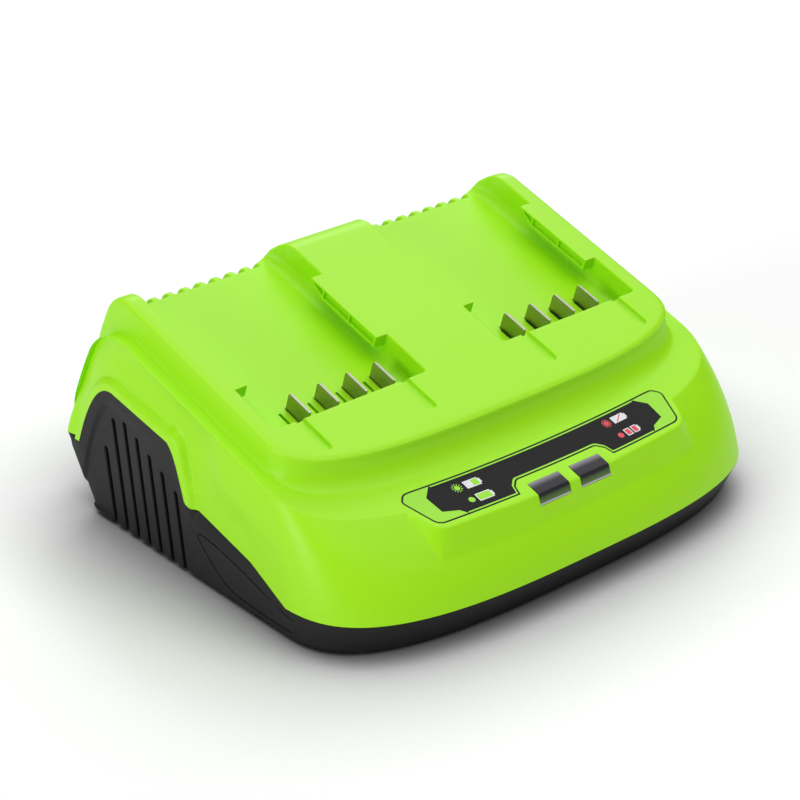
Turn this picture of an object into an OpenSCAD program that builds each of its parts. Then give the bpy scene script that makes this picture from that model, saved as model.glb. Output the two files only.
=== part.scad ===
// Twin-bay charger for slide-on tool batteries.
// Origin: on the ground, under the middle of the body. X to the right, Y to the back, Z up.
// The deck is a plane tilted back. Positions on it are given as [x, s, h]: s is the distance up the
// slope from the front wall of the bays, h the height above the deck's surface.

/* [Bays] */
// Distance between the middles of the two bays
bay_pitch = 110; // [100:1:130]
// Width of a bay between its side walls
bay_w = 71; // [62:0.5:78]
// Depth of a bay below the deck
bay_depth = 12; // [9:0.5:15]
// Radius between a bay's floor and its side walls
bay_fillet = 5; // [2:0.5:8]
// Distance up the slope at which a bay's side walls start to lean in towards its rear mouth
mouth_start = 86; // [84:0.5:88]
// How far the feet of those walls lean in at the mouth's end
mouth_lean = 4; // [0:0.5:4.5]
// Width of the deck outside a bay
bay_rim = 7.5; // [5:0.5:12]
// How far a guide rail stands out from the side wall
rail_reach = 5.15; // [3:0.05:7]
// Thickness of a guide rail, down from the deck
rail_t = 5; // [3.5:0.1:6.5]
// Distance from the bay's front wall to the rails
rail_start = 23.5; // [19:0.5:30]
// Length of a rail
rail_len = 40; // [30:1:46]
// Distance of a guide groove from the middle of its bay
groove_x = 24.5; // [16:0.5:29]
// Width of a guide groove
groove_w = 4; // [2:0.5:6]
// Length of a guide groove
groove_len = 17.5; // [8:0.5:22]
// Depth of a guide groove
groove_depth = 1.6; // [0.6:0.1:2]

/* [Deck] */
// Tilt of the deck, in degrees
deck_tilt = 17; // [12:0.5:20]
// Where the bays' front wall meets the deck, along the depth of the body
deck_y = -21; // [-26:0.5:-18]
// Height of the deck there
deck_z = 69; // [66:0.5:76]
// Reach of the deck in front of the bays
deck_front = 29.4; // [26:0.2:32]
// Distance up the slope at which the rear arch starts
arch_start = 80; // [76:0.5:84]
// Radius of the rear arch of the deck
arch_r = 13; // [9:0.5:15]
// Slope of the rear wall where the arch ends, in degrees
rear_slope = 59; // [52:1:64]

/* [Ledge] */
// Drop from the deck to the ledge round it
ledge_drop = 9.7; // [7:0.1:12]
// Width of the ledge at the sides
ledge_w = 7; // [5:0.5:9]
// Reach of the ledge in front of the bays
ledge_front = 53; // [50:0.5:56]
// How far the foot of the deck's wall spreads at the front
foot_spread = 12; // [6:0.5:14]
// Where the ledge's rear arch starts, up the slope
ledge_arch_start = 69; // [65:0.5:72]
// Radius of the ledge's rear arch
ledge_arch_r = 22; // [18:0.5:24]

/* [Body] */
// Depth of the body from front to back
body_d = 184; // [180:1:196]
// How far the body's side stands out beyond the ledge
side_flare = 4; // [2:0.5:8]
// How far the side wall is drawn in behind the lip round the high shoulder
lip_depth = 2.4; // [0:0.1:3]
// Wall thickness of both shells
wall = 2.5; // [2:0.1:3]
// Radius of the body's rear corners
rear_corner_r = 8; // [4:0.5:12]
// Gap between the two shells
seam = 0.2; // [0.1:0.05:0.4]
// Height of the base's lower face above the ground
foot_h = 3; // [2:0.5:5]
// Radius of the base's lower edge
base_edge_r = 3; // [1:0.5:4]
// How far the base's foot draws in at the front
base_in_front = 6.4; // [3:0.2:9]
// How far the base's foot draws in at the rear
base_in_rear = 13; // [8:0.5:16]
// How far the base's foot draws in at the sides
base_in_side = 2; // [1:0.5:4]

/* [Parting line] */
// Height of the parting line at the front
seam_front_z = 15; // [12:0.5:18]
// Height of the parting line at the rear
seam_rear_z = 30.5; // [26:0.5:34]
// Height of the base's low side shoulder, at its rear end
low_hump_z = 34; // [30:0.5:37]
// Rear end of the low shoulder, along the depth
low_hump_y = 11; // [6:0.5:14]
// Height of the base's high side shoulder, at its top
high_hump_z = 57; // [52:0.5:59]
// Top of the high shoulder, along the depth
high_hump_y = 58; // [54:0.5:62]

/* [Vents] */
// Number of vent slots in each side
slot_count = 7; // [5:1:8]
// Distance between vent slots
slot_pitch = 7.65; // [6.5:0.05:8]
// Width of a vent slot
slot_w = 2.2; // [1.2:0.1:3.5]
// Place of the foremost vent slot, along the depth
slot_y = 15.7; // [14:0.1:18]
// Height of the tallest vent slot's top
slot_top_z = 48; // [42:0.5:50]
// Number of louvres behind each bay
louvre_count = 8; // [5:1:8]
// Distance between louvres
louvre_pitch = 7.3; // [6:0.1:7.5]
// Width of a louvre's opening
louvre_w = 3; // [2:0.1:4.5]
// Length of a louvre down the rear wall
louvre_len = 18; // [10:0.5:20]

/* [Label and lights] */
// Reach of the bezel in front of the bays
bezel_front = 63.3; // [61:0.1:65]
// Half width of the bezel
bezel_half_w = 68; // [64:0.5:74]
// Half width of the label
label_half_w = 65; // [60:0.5:68]
// Near edge of the label, in front of the bays
label_top = 41; // [40.5:0.1:43]
// Far edge of the label, in front of the bays
label_bottom = 60.5; // [58:0.1:61]
// Thickness of the label
label_t = 0.8; // [0.4:0.1:1.2]
// Width of a light lens
lens_w = 15.4; // [11:0.1:18]
// Gap between the two lenses
lens_gap = 5.2; // [3:0.1:9]
// Length of a lens on the bezel's top
lens_len = 5.2; // [3:0.1:7]
// Height of a lens on the bezel's front
lens_h = 6; // [4:0.1:8]

/* [Terminals] */
// Number of blades in each bay
blade_count = 4; // [2:1:5]
// Distance between blades
blade_pitch = 13.3; // [9:0.1:14]
// Thickness of a blade
blade_t = 1; // [0.6:0.1:1.6]
// Length of a blade along the bay
blade_len = 12.2; // [9:0.1:16]
// Distance from the bay's front wall to the blades
blade_start = 4.7; // [3.5:0.1:6]
// How far a blade's top lies below the deck
blade_below = 4.4; // [1:0.1:6]
// How far the left bay's blades stand to the right of the bay's middle
blade_off_left = 5; // [0:0.5:5]
// How far the right bay's blades stand to the right of the bay's middle
blade_off_right = 1.5; // [0:0.5:5]
// Width of the narrow slots in a bay's floor, one beside each blade
floor_slot_w = 1.3; // [0.8:0.1:2]
// How far the row of narrow slots lies to the right of the bay's middle
floor_slot_off = 0.7; // [0:0.1:2]
// Depth of the block that holds the blades
block_h = 10; // [8:0.5:14]

/* [Board] */
// Width of the main board
board_w = 160; // [150:1:164]
// How far the main board's edges lie inside the body's ends, both together
board_in = 72; // [68:1:78]
// Thickness of the boards
board_t = 1.6; // [1:0.1:2.4]
// Height of the main board's lower face
board_z = 13; // [11:0.5:14]
// Middle of the main board, along the width
board_x = 5; // [3:0.5:7]
// Middle of the main board, along the depth
board_y = -3; // [-5:0.5:0]

/* [Fan] */
// Side of the fan's square frame
fan_size = 50; // [40:1:50]
// Thickness of the fan
fan_t = 15; // [13:0.5:16]
// Bore of the fan's duct, as a radius
duct_r = 23.3; // [18:0.1:23.5]
// Gap between the blades' tips and the duct
tip_gap = 0.8; // [0.4:0.1:1.5]
// Number of fan blades
fan_blades = 7; // [5:1:9]
// Radius of the rotor's hub
hub_r = 11; // [9:0.5:12]
// Radius of the fan's shaft
shaft_r = 1.5; // [1:0.1:1.8]
// Running clearance between the shaft and its bearing
shaft_clear = 0.03; // [0.02:0.01:0.08]

/* [Base fittings] */
// Radius of the cord gland's bore
cord_bore_r = 3.6; // [2.5:0.1:4.5]
// Outer radius of the cord gland's sleeve
gland_r = 6.5; // [5.5:0.1:8]
// Place of the cord gland, along the width
gland_x = 60; // [40:1:70]
// Radius of a keyhole's round entry
keyhole_r = 5; // [4:0.1:6]
// Width of a keyhole's slot
keyhole_slot_w = 4.4; // [3:0.1:5]
// Distance between the two keyholes
keyhole_pitch = 120; // [100:1:126]
// Radius of a rubber foot
foot_r = 8; // [5:0.5:9]
// Radius of a housing screw's shank
screw_r = 1.5; // [1.2:0.1:1.8]
// Radius of a housing screw's head
screw_head_r = 3.1; // [2.4:0.1:3.4]

/* [Hidden] */
$fn = 32;

CUT = 1;             // overrun of a cutting shape
FIT = 0.15;          // clearance of a piece dropped into its seat
TOUCH = 0.05;        // clearance of a piece that bears on its seat
CORNER = 2 / 3;      // exponent that squares the front outline up
BULGE_OUT = 0.78;    // how far out the wall's control point lies, as a share
BULGE_DOWN = 0.415;  // how far down it lies, as a share
LIP_W = 1.2;         // width of the lip round the high shoulder
SHOULDER_H = 4.5;    // height of the slope from the low shoulder up to the cover

board_d = body_d - board_in;
body_rear = body_d / 2;
body_front = -body_d / 2;
deck_half_w = (bay_pitch + bay_w) / 2 + bay_rim;
ledge_half_w = deck_half_w + ledge_w;
side_half_w = ledge_half_w + side_flare;
bay_floor_h = -bay_depth - wall;

// ---------------------------------------------------------------- deck and outline functions

// Point of the YZ plane at distance s up the deck's slope and height h above it
function deck_pt(s, h) = [deck_y + s * cos(deck_tilt) - h * sin(deck_tilt),
    deck_z + s * sin(deck_tilt) + h * cos(deck_tilt)];

// A tier's profile: [drop below the deck, start of its arch, arch radius, inset from the body's rear,
// height above the parting line at which it ends]
DECK_TIER = [0, arch_start, arch_r, 2.3, 7.5];
EDGE_TIER = [1.2, arch_start, arch_r - 1.2, 1.7, 5.5];
LEDGE_TIER = [ledge_drop, ledge_arch_start, ledge_arch_r, 0, 1];
FOOT_TIER = [ledge_drop, ledge_arch_start, ledge_arch_r, 1.2, 3.5];

function inset(tier, d) = [tier[0] + d, tier[1], tier[2] - d, tier[3] + d, tier[4]];

function arch_centre(tier) = deck_pt(tier[1], -tier[0] - tier[2]);

// Height of a tier's surface at a given depth: a plane, a round arch, then a steepening rear wall
function tier_z(y, tier) =
    let (c = arch_centre(tier), r = tier[2],
         y_top = c[0] - r * sin(deck_tilt), y_end = c[0] + r * sin(rear_slope),
         z_end = c[1] + r * cos(rear_slope), run = body_rear - tier[3] - y_end,
         u = (y - y_end) / run, fall = run * tan(rear_slope))
    y < y_top ? deck_z + (y - deck_y) * tan(deck_tilt) - tier[0] / cos(deck_tilt) :
    y < y_end ? c[1] + sqrt(max(0, r * r - pow(y - c[0], 2))) :
    z_end - fall * u - (z_end - seam_rear_z - tier[4] - fall) * u * u;

function soft_min(a, b, k) = min(a, b) - pow(max(k - abs(a - b), 0), 2) / (4 * k);

// Top line of the high shoulder, with its steep ends carried on below the parting line
function high_line(y) = soft_min(
    soft_min(high_hump_z + (y - high_hump_y) * tan(deck_tilt), low_hump_z + (y - low_hump_y - 1) * 2.4, 5),
    high_hump_z + 4 - (y - high_hump_y - 9) * 2.2, 9);

// Height of the parting line between the shells at a given depth: two shoulders parallel to the deck
function seam_z(y) =
    let (low = soft_min(low_hump_z + (y - low_hump_y) * tan(deck_tilt), seam_front_z + (y + 41) * 1.2, 3))
    y < high_hump_y ? max(seam_front_z, low, high_line(y)) : max(seam_rear_z, high_line(y));

function ease(low, high, v) = let (t = min(1, max(0, (v - low) / (high - low)))) t * t * (3 - 2 * t);

// How far the side wall is drawn in: it leaves a lip round the high shoulder, lies deepest just above the
// lip, and fades towards the ledge and the front
function side_in(y, z) =
    let (slope = high_line(y + 0.5) - high_line(y - 0.5),
         above = (z - high_line(y)) / sqrt(1 + slope * slope),
         ahead = ease(-40, -26, y) * (1 - ease(8, 24, z - seam_z(y))))
    lip_depth * ease(LIP_W, LIP_W + 5, above) * (1 - ease(body_rear - 10, body_rear - 2, y))
        * max(ahead, 1 - ease(12, 26, above));

function draw_in(half) = [for (p = half) [p[0] - side_in(p[1], p[2]), p[1], p[2]]];

// Depths at which the side outlines are sampled, from the rear to the front quarter
SIDE_STEPS = concat([1, 0.985, 0.96, 0.93, 0.905, 0.885], [for (i = [11:-1:1]) 0.32 + i * 0.049]);
SIDE_Y = concat([for (k = SIDE_STEPS) k * body_rear],
    [for (d = [18, 13, 9, 7, 5, 3.4, 2, 0.6, -1, -4, -11, -26]) low_hump_y + d]);
FRONT_ANGLES = [90, 89, 87, 83, 77, 70, 62, 54, 46, 38, 30, 22, 14, 6];

function corner_in(y) = y < body_rear - rear_corner_r ? 0 :
    rear_corner_r - sqrt(max(0, pow(rear_corner_r, 2) - pow(y - body_rear + rear_corner_r, 2)));

// Right half of a ring on a tier: side samples, then a squared-up quarter at the front
function tier_half(half_w, tier, front, start) =
    let (k = (body_rear - tier[3]) / body_rear)
    concat([for (y = SIDE_Y) let (yy = y > 0 ? y * k : y)
            [half_w - corner_in(y), yy, tier_z(yy, tier)]],
        [for (a = FRONT_ANGLES) let (p = deck_pt(-start - (front - start) * pow(cos(a), CORNER), -tier[0]))
            [half_w * pow(sin(a), CORNER), p[0], p[1]]]);

// Right half of a level ring whose heights follow the parting line, moved by dz
function seam_half(half_w, front, rear, dz) =
    concat([for (y = SIDE_Y) let (yy = y > 0 ? y * rear / body_rear : y)
            [half_w - corner_in(y), yy, seam_z(yy) + dz]],
        [for (a = FRONT_ANGLES) let (y = -41 + (front + 41) * pow(cos(a), CORNER))
            [half_w * pow(sin(a), CORNER), y, seam_z(y) + dz]]);

// Right half of a flat ring
function flat_half(half_w, front, rear, z) =
    [for (p = seam_half(half_w, front, rear, 0)) [p[0], p[1], z]];

// Ring between two others on a curved wall: t runs from the lower one to the upper one
function wall_half(low, high, t) =
    [for (i = [0:len(low) - 1]) let (p = low[i], c = high[i],
            q = [c[0] + BULGE_OUT * (p[0] - c[0]), c[1] + BULGE_OUT * (p[1] - c[1]),
                 c[2] + BULGE_DOWN * (p[2] - c[2])])
        (1 - t) * (1 - t) * p + 2 * t * (1 - t) * q + t * t * c];

function mix_half(low, high, kxy, kz) =
    [for (i = [0:len(low) - 1]) [low[i][0] + kxy * (high[i][0] - low[i][0]),
        low[i][1] + kxy * (high[i][1] - low[i][1]), low[i][2] + kz * (high[i][2] - low[i][2])]];

function lower(half, d) = [for (p = half) [p[0], p[1], p[2] - d]];

// Closed solid through rings given by their right halves, each from the rear to the front.
// Its top and bottom are ruled across the width.
module loft(halves) {
    h = len(halves[0]);
    n = 2 * h;
    rings = [for (half = halves) concat([for (p = half) [-p[0], p[1], p[2]]],
        [for (i = [h - 1:-1:0]) half[i]])];
    top = (len(halves) - 1) * n;
    sides = [for (r = [0:len(halves) - 2], i = [0:n - 1], k = [0, 1])
        let (a = r * n + i, b = r * n + (i + 1) % n)
        k == 0 ? [a, a + n, b + n] : [a, b + n, b]];
    caps = [for (i = [0:h - 2], k = [0, 1], up = [0, 1])
        let (a = i, b = n - 1 - i, c = b - 1, d = a + 1,
             t = k == 0 ? [a, b, c] : [a, c, d])
        up == 1 ? [for (v = t) v + top] : [t[2], t[1], t[0]]];
    polyhedron(points = [for (r = rings) each r], faces = concat(sides, caps), convexity = 8);
}

module in_deck() {
    translate([0, deck_y, deck_z]) rotate([deck_tilt, 0, 0]) children();
}

module each_bay() {
    for (side = [-1, 1]) in_deck() translate([side * bay_pitch / 2, 0, 0]) children();
}

module one_bay(side) {
    in_deck() translate([side * bay_pitch / 2, 0, 0]) children();
}

// Straight run along the bay with rounded lower edges, its feet drawn in by lean; the front lies at s = 0
module trough(width, depth, radius, length, height, lean = 0) {
    translate([0, length, 0]) rotate([90, 0, 0]) linear_extrude(length) hull() {
        for (side = [-1, 1]) translate([side * (width / 2 - lean - radius), radius - depth]) circle(radius);
        translate([-width / 2, 0]) square([width, height]);
    }
}

MOUTH_LEN = 10;
BAY_CUT_H = 30;  // height of the space cut free for a bay

// Space of one bay: straight, then with walls that lean in at their feet
module bay_space() {
    hull() {
        trough(bay_w, bay_depth, bay_fillet, mouth_start, BAY_CUT_H);
        translate([0, mouth_start + MOUTH_LEN, 0])
            trough(bay_w, bay_depth, bay_fillet, CUT, BAY_CUT_H, mouth_lean);
    }
}

// ---------------------------------------------------------------- shells

// The cover's form, grown inwards by d and reaching down past the parting line by dz: a bulging wall,
// the ledge, a wall that spreads at its foot, a softened edge and the deck
module cover_form(d, dz) {
    rim = seam_half(side_half_w - d, body_front + d, body_rear - d, 0);
    ledge = tier_half(ledge_half_w - d, inset(LEDGE_TIER, d), ledge_front - d, 10);
    foot = tier_half(deck_half_w + 1.5 - d, inset(FOOT_TIER, d), deck_front + foot_spread - d, 4);
    edge = tier_half(deck_half_w - d, inset(EDGE_TIER, d), deck_front - d, 2);
    top = tier_half(deck_half_w - 1.2 - d, inset(DECK_TIER, d), deck_front - 1.2 - d, 2);
    loft(concat(dz > 0 ? [lower(draw_in(rim), dz)] : [], [draw_in(rim)],
        [for (t = [0.07, 0.17, 0.3, 0.5, 0.72, 0.9]) draw_in(wall_half(rim, ledge, t))], [ledge, foot],
        [for (a = [65, 40, 15]) mix_half(edge, foot, 1 - cos(a), sin(a))], [edge, top]));
}

// Outline of the bezel on the ledge's plane, shrunk by d
module bezel_outline(d) {
    hull() {
        for (side = [-1, 1]) {
            translate([side * (bezel_half_w - 12), -bezel_front + 5.5]) circle(4 - d / 2);
            translate([side * (bezel_half_w - 6), -50]) circle(6 - d);
            translate([side * (bezel_half_w - 14), -43]) circle(5 - d);
        }
        translate([-20, -bezel_front + d]) square([40, 10]);
    }
}

// The bezel: a shelf that carries the ledge forward, with a leaning front
module bezel(d) {
    hull() {
        in_deck() translate([0, 0, -ledge_drop - d - 0.5]) linear_extrude(0.5) bezel_outline(d);
        translate([0, 0, seam_front_z + 13]) linear_extrude(1) hull() {
            for (side = [-1, 1]) translate([side * (bezel_half_w - 4), body_front + 15.8]) circle(5 - d);
            translate([-20, body_front + 7.2 + d]) square([40, 10]);
        }
    }
}

module label_outline(d) {
    difference() {
        hull() for (side = [-1, 1]) {
            translate([side * (label_half_w - 5), -label_top - 3 - d]) circle(3 - d);
            translate([side * (label_half_w - 3), -label_top - 6]) circle(3 - d);
            translate([side * (label_half_w - 8), -label_bottom + 6]) circle(4 - d);
            translate([side * (label_half_w - 19), -label_bottom + 4 + d]) circle(3.2);
            translate([side * (label_half_w - 38), -label_bottom + 3 + d]) circle(3);
        }
        hull() for (side = [-1, 1]) {
            translate([side * (lens_w + lens_gap / 2), -label_bottom + 3]) circle(3 + d);
            translate([side * (lens_w + lens_gap / 2 + 3), -label_bottom - 6]) circle(3 + d);
        }
    }
}

FACE_LEAN = 42;      // lean of the bezel's face out of square with the ledge, in degrees
LENS_PROUD = 0.3;
LENS_T = 2.6;

// Point of the deck's [s, h] plane: down the bezel's face by a, out of it by b
function on_face(a, b) = [-bezel_front - a * sin(FACE_LEAN) - b * cos(FACE_LEAN),
    -a * cos(FACE_LEAN) + b * sin(FACE_LEAN)];

// Space of one light lens: it wraps over the bezel's front edge and runs down its face
module lens_body(side, gap) {
    x0 = side * (lens_w + lens_gap) / 2;
    rear = -bezel_front + lens_len + gap;
    in_deck() translate([x0 - lens_w / 2 - gap, 0, -ledge_drop])
        rotate([90, 0, 90]) linear_extrude(lens_w + 2 * gap)
            polygon([[rear, 0.2 + gap], [rear, -LENS_T - gap], on_face(4, -LENS_T - gap),
                on_face(lens_h + gap, -LENS_T - gap), on_face(lens_h + gap, LENS_PROUD + gap),
                on_face(0.6, LENS_PROUD + gap), [-bezel_front + 0.4, 0.2 + gap]]);
}

// One rail in the plane of its side: lead-in at the rear, cored from the bay's side
module rail_profile() {
    polygon([[0, 0], [rail_len, 0], [rail_len, -0.8], [rail_len - 2.2, -2.2], [rail_len - 7, -rail_t],
        [0, -rail_t]]);
}

module rail_cores() {
    deep = rail_t - 0.9;
    split = (rail_len - 8.4) / 2;
    polygon([[1.2, -1], [split, -1], [split, -deep], [1.2, -deep]]);
    polygon([[split + 0.9, -1], [2 * split, -1], [2 * split, -deep], [split + 0.9, -deep]]);
    polygon([[2 * split + 0.9, -1], [rail_len - 1.6, -1], [2 * split + 0.9, -deep + 0.4]]);
}

RAIL_CORE_DEEP = 3;

module rail(side) {
    root = side * bay_w / 2;
    face = side * (bay_w / 2 - rail_reach);
    difference() {
        translate([side > 0 ? face : root - CUT, rail_start, 0]) rotate([90, 0, 90])
            linear_extrude(rail_reach + CUT) rail_profile();
        translate([side > 0 ? face - CUT : face - RAIL_CORE_DEEP, rail_start, 0]) rotate([90, 0, 90])
            linear_extrude(RAIL_CORE_DEEP + CUT) rail_cores();
    }
}

SMALL_FN = 16;  // segments of the cover's small rounds
BOSS_R = 3.6;

// Display board under the lenses, in deck coordinates
DISPLAY_H = -ledge_drop - 9;
DISPLAY_S = -bezel_front + 8;
DISPLAY_W = 60;
DISPLAY_D = 14;
DISPLAY_HOLE_X = DISPLAY_W / 2 - 4;
BASE_BOSS_TOP = foot_h + wall + 5;
// Housing screws: outside the bays at the rear, at the front corners, and in the divider
SCREW_AT = [for (side = [-1, 1]) each [[side * (ledge_half_w - wall - 4.2), low_hump_y - 6],
        [side * (ledge_half_w - 21), body_front + 28]],
    [0, body_rear - 27], [0, deck_pt(DISPLAY_S, DISPLAY_H - board_t)[0] - BOSS_R - 0.5]];
BOARD_AT = [for (sx = [-1, 1], sy = [-1, 1])
    [board_x + sx * (board_w / 2 - 5), board_y + sy * (board_d / 2 - 5)]];

module cover_bosses() {
    for (p = SCREW_AT) translate([p[0], p[1], BASE_BOSS_TOP + seam]) difference() {
        cylinder(r = BOSS_R, h = deck_z + body_d / 2, $fn = SMALL_FN);
        translate([0, 0, -CUT]) cylinder(r = screw_r + TOUCH, h = 12 + CUT, $fn = SMALL_FN);
    }
}

// Bosses that hang from the bays' floors into the terminal blocks, and the display board's posts
module cover_posts() {
    each_bay() for (end = [-1, 1]) translate([end * BLOCK_HOLE_X, BLOCK_LEN / 2, bay_floor_h - BOSS_LEN])
        difference() {
            cylinder(r = BLOCK_BOSS_R, h = BOSS_LEN + 1, $fn = SMALL_FN);
            translate([0, 0, -CUT]) cylinder(r = screw_r + TOUCH, h = BOSS_LEN + CUT, $fn = SMALL_FN);
        }
    in_deck() for (side = [-1, 1]) translate([side * DISPLAY_HOLE_X, DISPLAY_S + DISPLAY_D / 2, 0]) {
        translate([0, 0, DISPLAY_H + TOUCH])
            cylinder(r = 2.6, h = -ledge_drop - wall + 0.5 - DISPLAY_H, $fn = SMALL_FN);
        translate([0, 0, DISPLAY_H - board_t - 1]) cylinder(r = 1.5 - FIT, h = board_t + 2, $fn = SMALL_FN);
    }
}

BLADE_GAP = 0.3;     // clearance of a blade in the bay's floor
FLOOR_SLOT_LEAD = 1.7;  // how far a narrow slot starts ahead of the blades

// Place of a blade, and of the narrow slot beside it, along the width of its bay
function row_x(i) = (i - (blade_count - 1) / 2) * blade_pitch;
function blade_x(i, side) = row_x(i) + (side < 0 ? blade_off_left : blade_off_right);

module cover_openings() {
    each_bay() {
        bay_space();
        for (side = [-1, 1]) hull() {
            translate([side * groove_x, groove_w / 2 - groove_len, -groove_depth])
                cylinder(d = groove_w, h = 9, $fn = SMALL_FN);
            translate([side * groove_x - groove_w / 2, 0, -groove_depth]) cube([groove_w, CUT, 9]);
        }
        for (i = [0:blade_count - 1])
            translate([row_x(i) + floor_slot_off - floor_slot_w / 2, blade_start - FLOOR_SLOT_LEAD,
                -bay_depth - 4]) cube([floor_slot_w, blade_len + 0.5, 8]);
    }
    for (side = [-1, 1]) one_bay(side) for (i = [0:blade_count - 1])
        translate([blade_x(i, side) - blade_t / 2 - BLADE_GAP, blade_start - BLADE_GAP, -bay_depth - 4])
            cube([blade_t + 2 * BLADE_GAP, blade_len + 2 * BLADE_GAP, 8]);
    for (side = [-1, 1], i = [0:louvre_count - 1]) louvre(side * bay_pitch / 2
        + (i - (louvre_count - 1) / 2) * louvre_pitch);
}

LOUVRE_LEAD = 0.6;

// Opening in the rear wall that starts at the rear edge of a bay's floor
module louvre(x) {
    floor_s = arch_start + 12;
    p = deck_pt(floor_s, -bay_depth);
    translate([x, p[0], p[1]]) rotate([-rear_slope, 0, 0]) {
        translate([-louvre_w / 2, -LOUVRE_LEAD, -7])
            cube([louvre_w, louvre_len + LOUVRE_LEAD - louvre_w / 2, 14]);
        translate([0, louvre_len - louvre_w / 2, -7]) cylinder(d = louvre_w, h = 14, $fn = SMALL_FN);
    }
}

module cover_cavity() {
    difference() {
        union() {
            cover_form(wall, 2);
            bezel(wall);
        }
        each_bay() translate([0, -wall, 0])
            trough(bay_w + 2 * wall, bay_depth + wall, bay_fillet, body_d, BAY_CUT_H);
        in_deck() translate([-label_half_w, -label_bottom - 1, -ledge_drop - label_t - 2])
            cube([2 * label_half_w, label_bottom - label_top + 2, 2.2]);
    }
}

module top_cover() {
    color("yellowgreen") {
        difference() {
            union() {
                cover_form(0, 0);
                bezel(0);
            }
            cover_cavity();
            cover_openings();
            in_deck() translate([0, 0, -ledge_drop - label_t]) linear_extrude(5) label_outline(0);
            lens_body(-1, FIT);
            lens_body(1, FIT);
        }
        each_bay() {
            rail(-1);
            rail(1);
        }
        difference() {
            intersection() {
                cover_bosses();
                union() {
                    cover_form(wall * 0.8, deck_z);
                    bezel(wall * 0.8);
                }
            }
            lens_body(-1, FIT);
            lens_body(1, FIT);
        }
        cover_posts();
    }
}

// Points of the straight wall between two rings at a height below the upper one
function below_rim(foot, rim, h) = [for (i = [0:len(rim) - 1])
    rim[i] + (foot[i] - rim[i]) * min(0.9, h / (rim[i][2] - foot[i][2]))];

// Outer form of the base, grown inwards by d, with its rim moved by dz: a rounded lower edge, a wall
// with some draft, and a slope in to the cover along the low shoulder
module base_form(d, dz) {
    rim = seam_half(side_half_w - d, body_front + d, body_rear - d, dz);
    foot_w = side_half_w - base_in_side - d;
    foot_f = body_front + base_in_front + d;
    foot_b = body_rear - base_in_rear - d;
    foot = flat_half(foot_w, foot_f, foot_b, foot_h + d + base_edge_r);
    loft([flat_half(foot_w - base_edge_r, foot_f + base_edge_r, foot_b - base_edge_r, foot_h + d),
        flat_half(foot_w - base_edge_r * 0.3, foot_f + base_edge_r * 0.3, foot_b - base_edge_r * 0.3,
            foot_h + d + base_edge_r * 0.3),
        foot, below_rim(foot, rim, SHOULDER_H), draw_in(rim)]);
}

function slot_top(y) = min(slot_top_z - (slot_y + 4 * slot_pitch - y) * 0.47,
    slot_top_z - 1.6 - (y - slot_y - 5 * slot_pitch) * 1.84);

module vent_slots() {
    depth = side_half_w - (side_half_w - base_in_side - wall - base_edge_r) + CUT;
    for (side = [-1, 1], i = [0:slot_count - 1]) {
        y = slot_y + i * slot_pitch;
        top = slot_top(y) - slot_w / 2;
        translate([side * (side_half_w + CUT) - (side > 0 ? depth : 0), y, 0]) {
            translate([0, -slot_w / 2, foot_h - CUT]) cube([depth, slot_w, top - foot_h + CUT]);
            translate([0, 0, top]) rotate([0, 90, 0]) cylinder(d = slot_w, h = depth);
        }
    }
}

FOOT_AT = [for (side = [-1, 1]) each [[side * (side_half_w - 27), body_front + 27],
    [side * (side_half_w - 22), body_rear - 32]]];
FOOT_SINK = 1;

module keyholes() {
    for (side = [-1, 1]) translate([side * keyhole_pitch / 2, 4, foot_h - CUT]) {
        cylinder(r = keyhole_r, h = wall + 2 * CUT);
        translate([-keyhole_slot_w / 2, 0, 0]) cube([keyhole_slot_w, keyhole_r + 9, wall + 2 * CUT]);
        translate([0, keyhole_r + 9, 0]) cylinder(d = keyhole_slot_w, h = wall + 2 * CUT);
    }
}

gland_z = foot_h + wall + 12;
gland_face = body_rear - 3.4;
gland_back = body_rear - 16.5;
GLAND_WALL = 3;

// Fan place: its frame stands on the floor behind the left vents, turning about X
fan_x = -(side_half_w - base_in_side - wall - base_edge_r);
fan_y = slot_y + (slot_count - 1) * slot_pitch / 2;
fan_z = foot_h + wall + 0.3 + fan_size / 2;
CRADLE_T = 2;

module fan_cradle() {
    ends = [fan_y - fan_size / 2 - CRADLE_T - 0.3, fan_y + fan_size / 2 - 3];
    for (side = [0, 1]) translate([fan_x - CRADLE_T - 0.1, ends[side], foot_h + wall - CUT]) {
        translate([fan_t + CRADLE_T + 0.2, 0, 0]) cube([CRADLE_T, CRADLE_T + 3.3, 24]);
        translate([CRADLE_T, side * 3.3, 0]) cube([fan_t + 1, CRADLE_T, 24]);
    }
}

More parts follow.
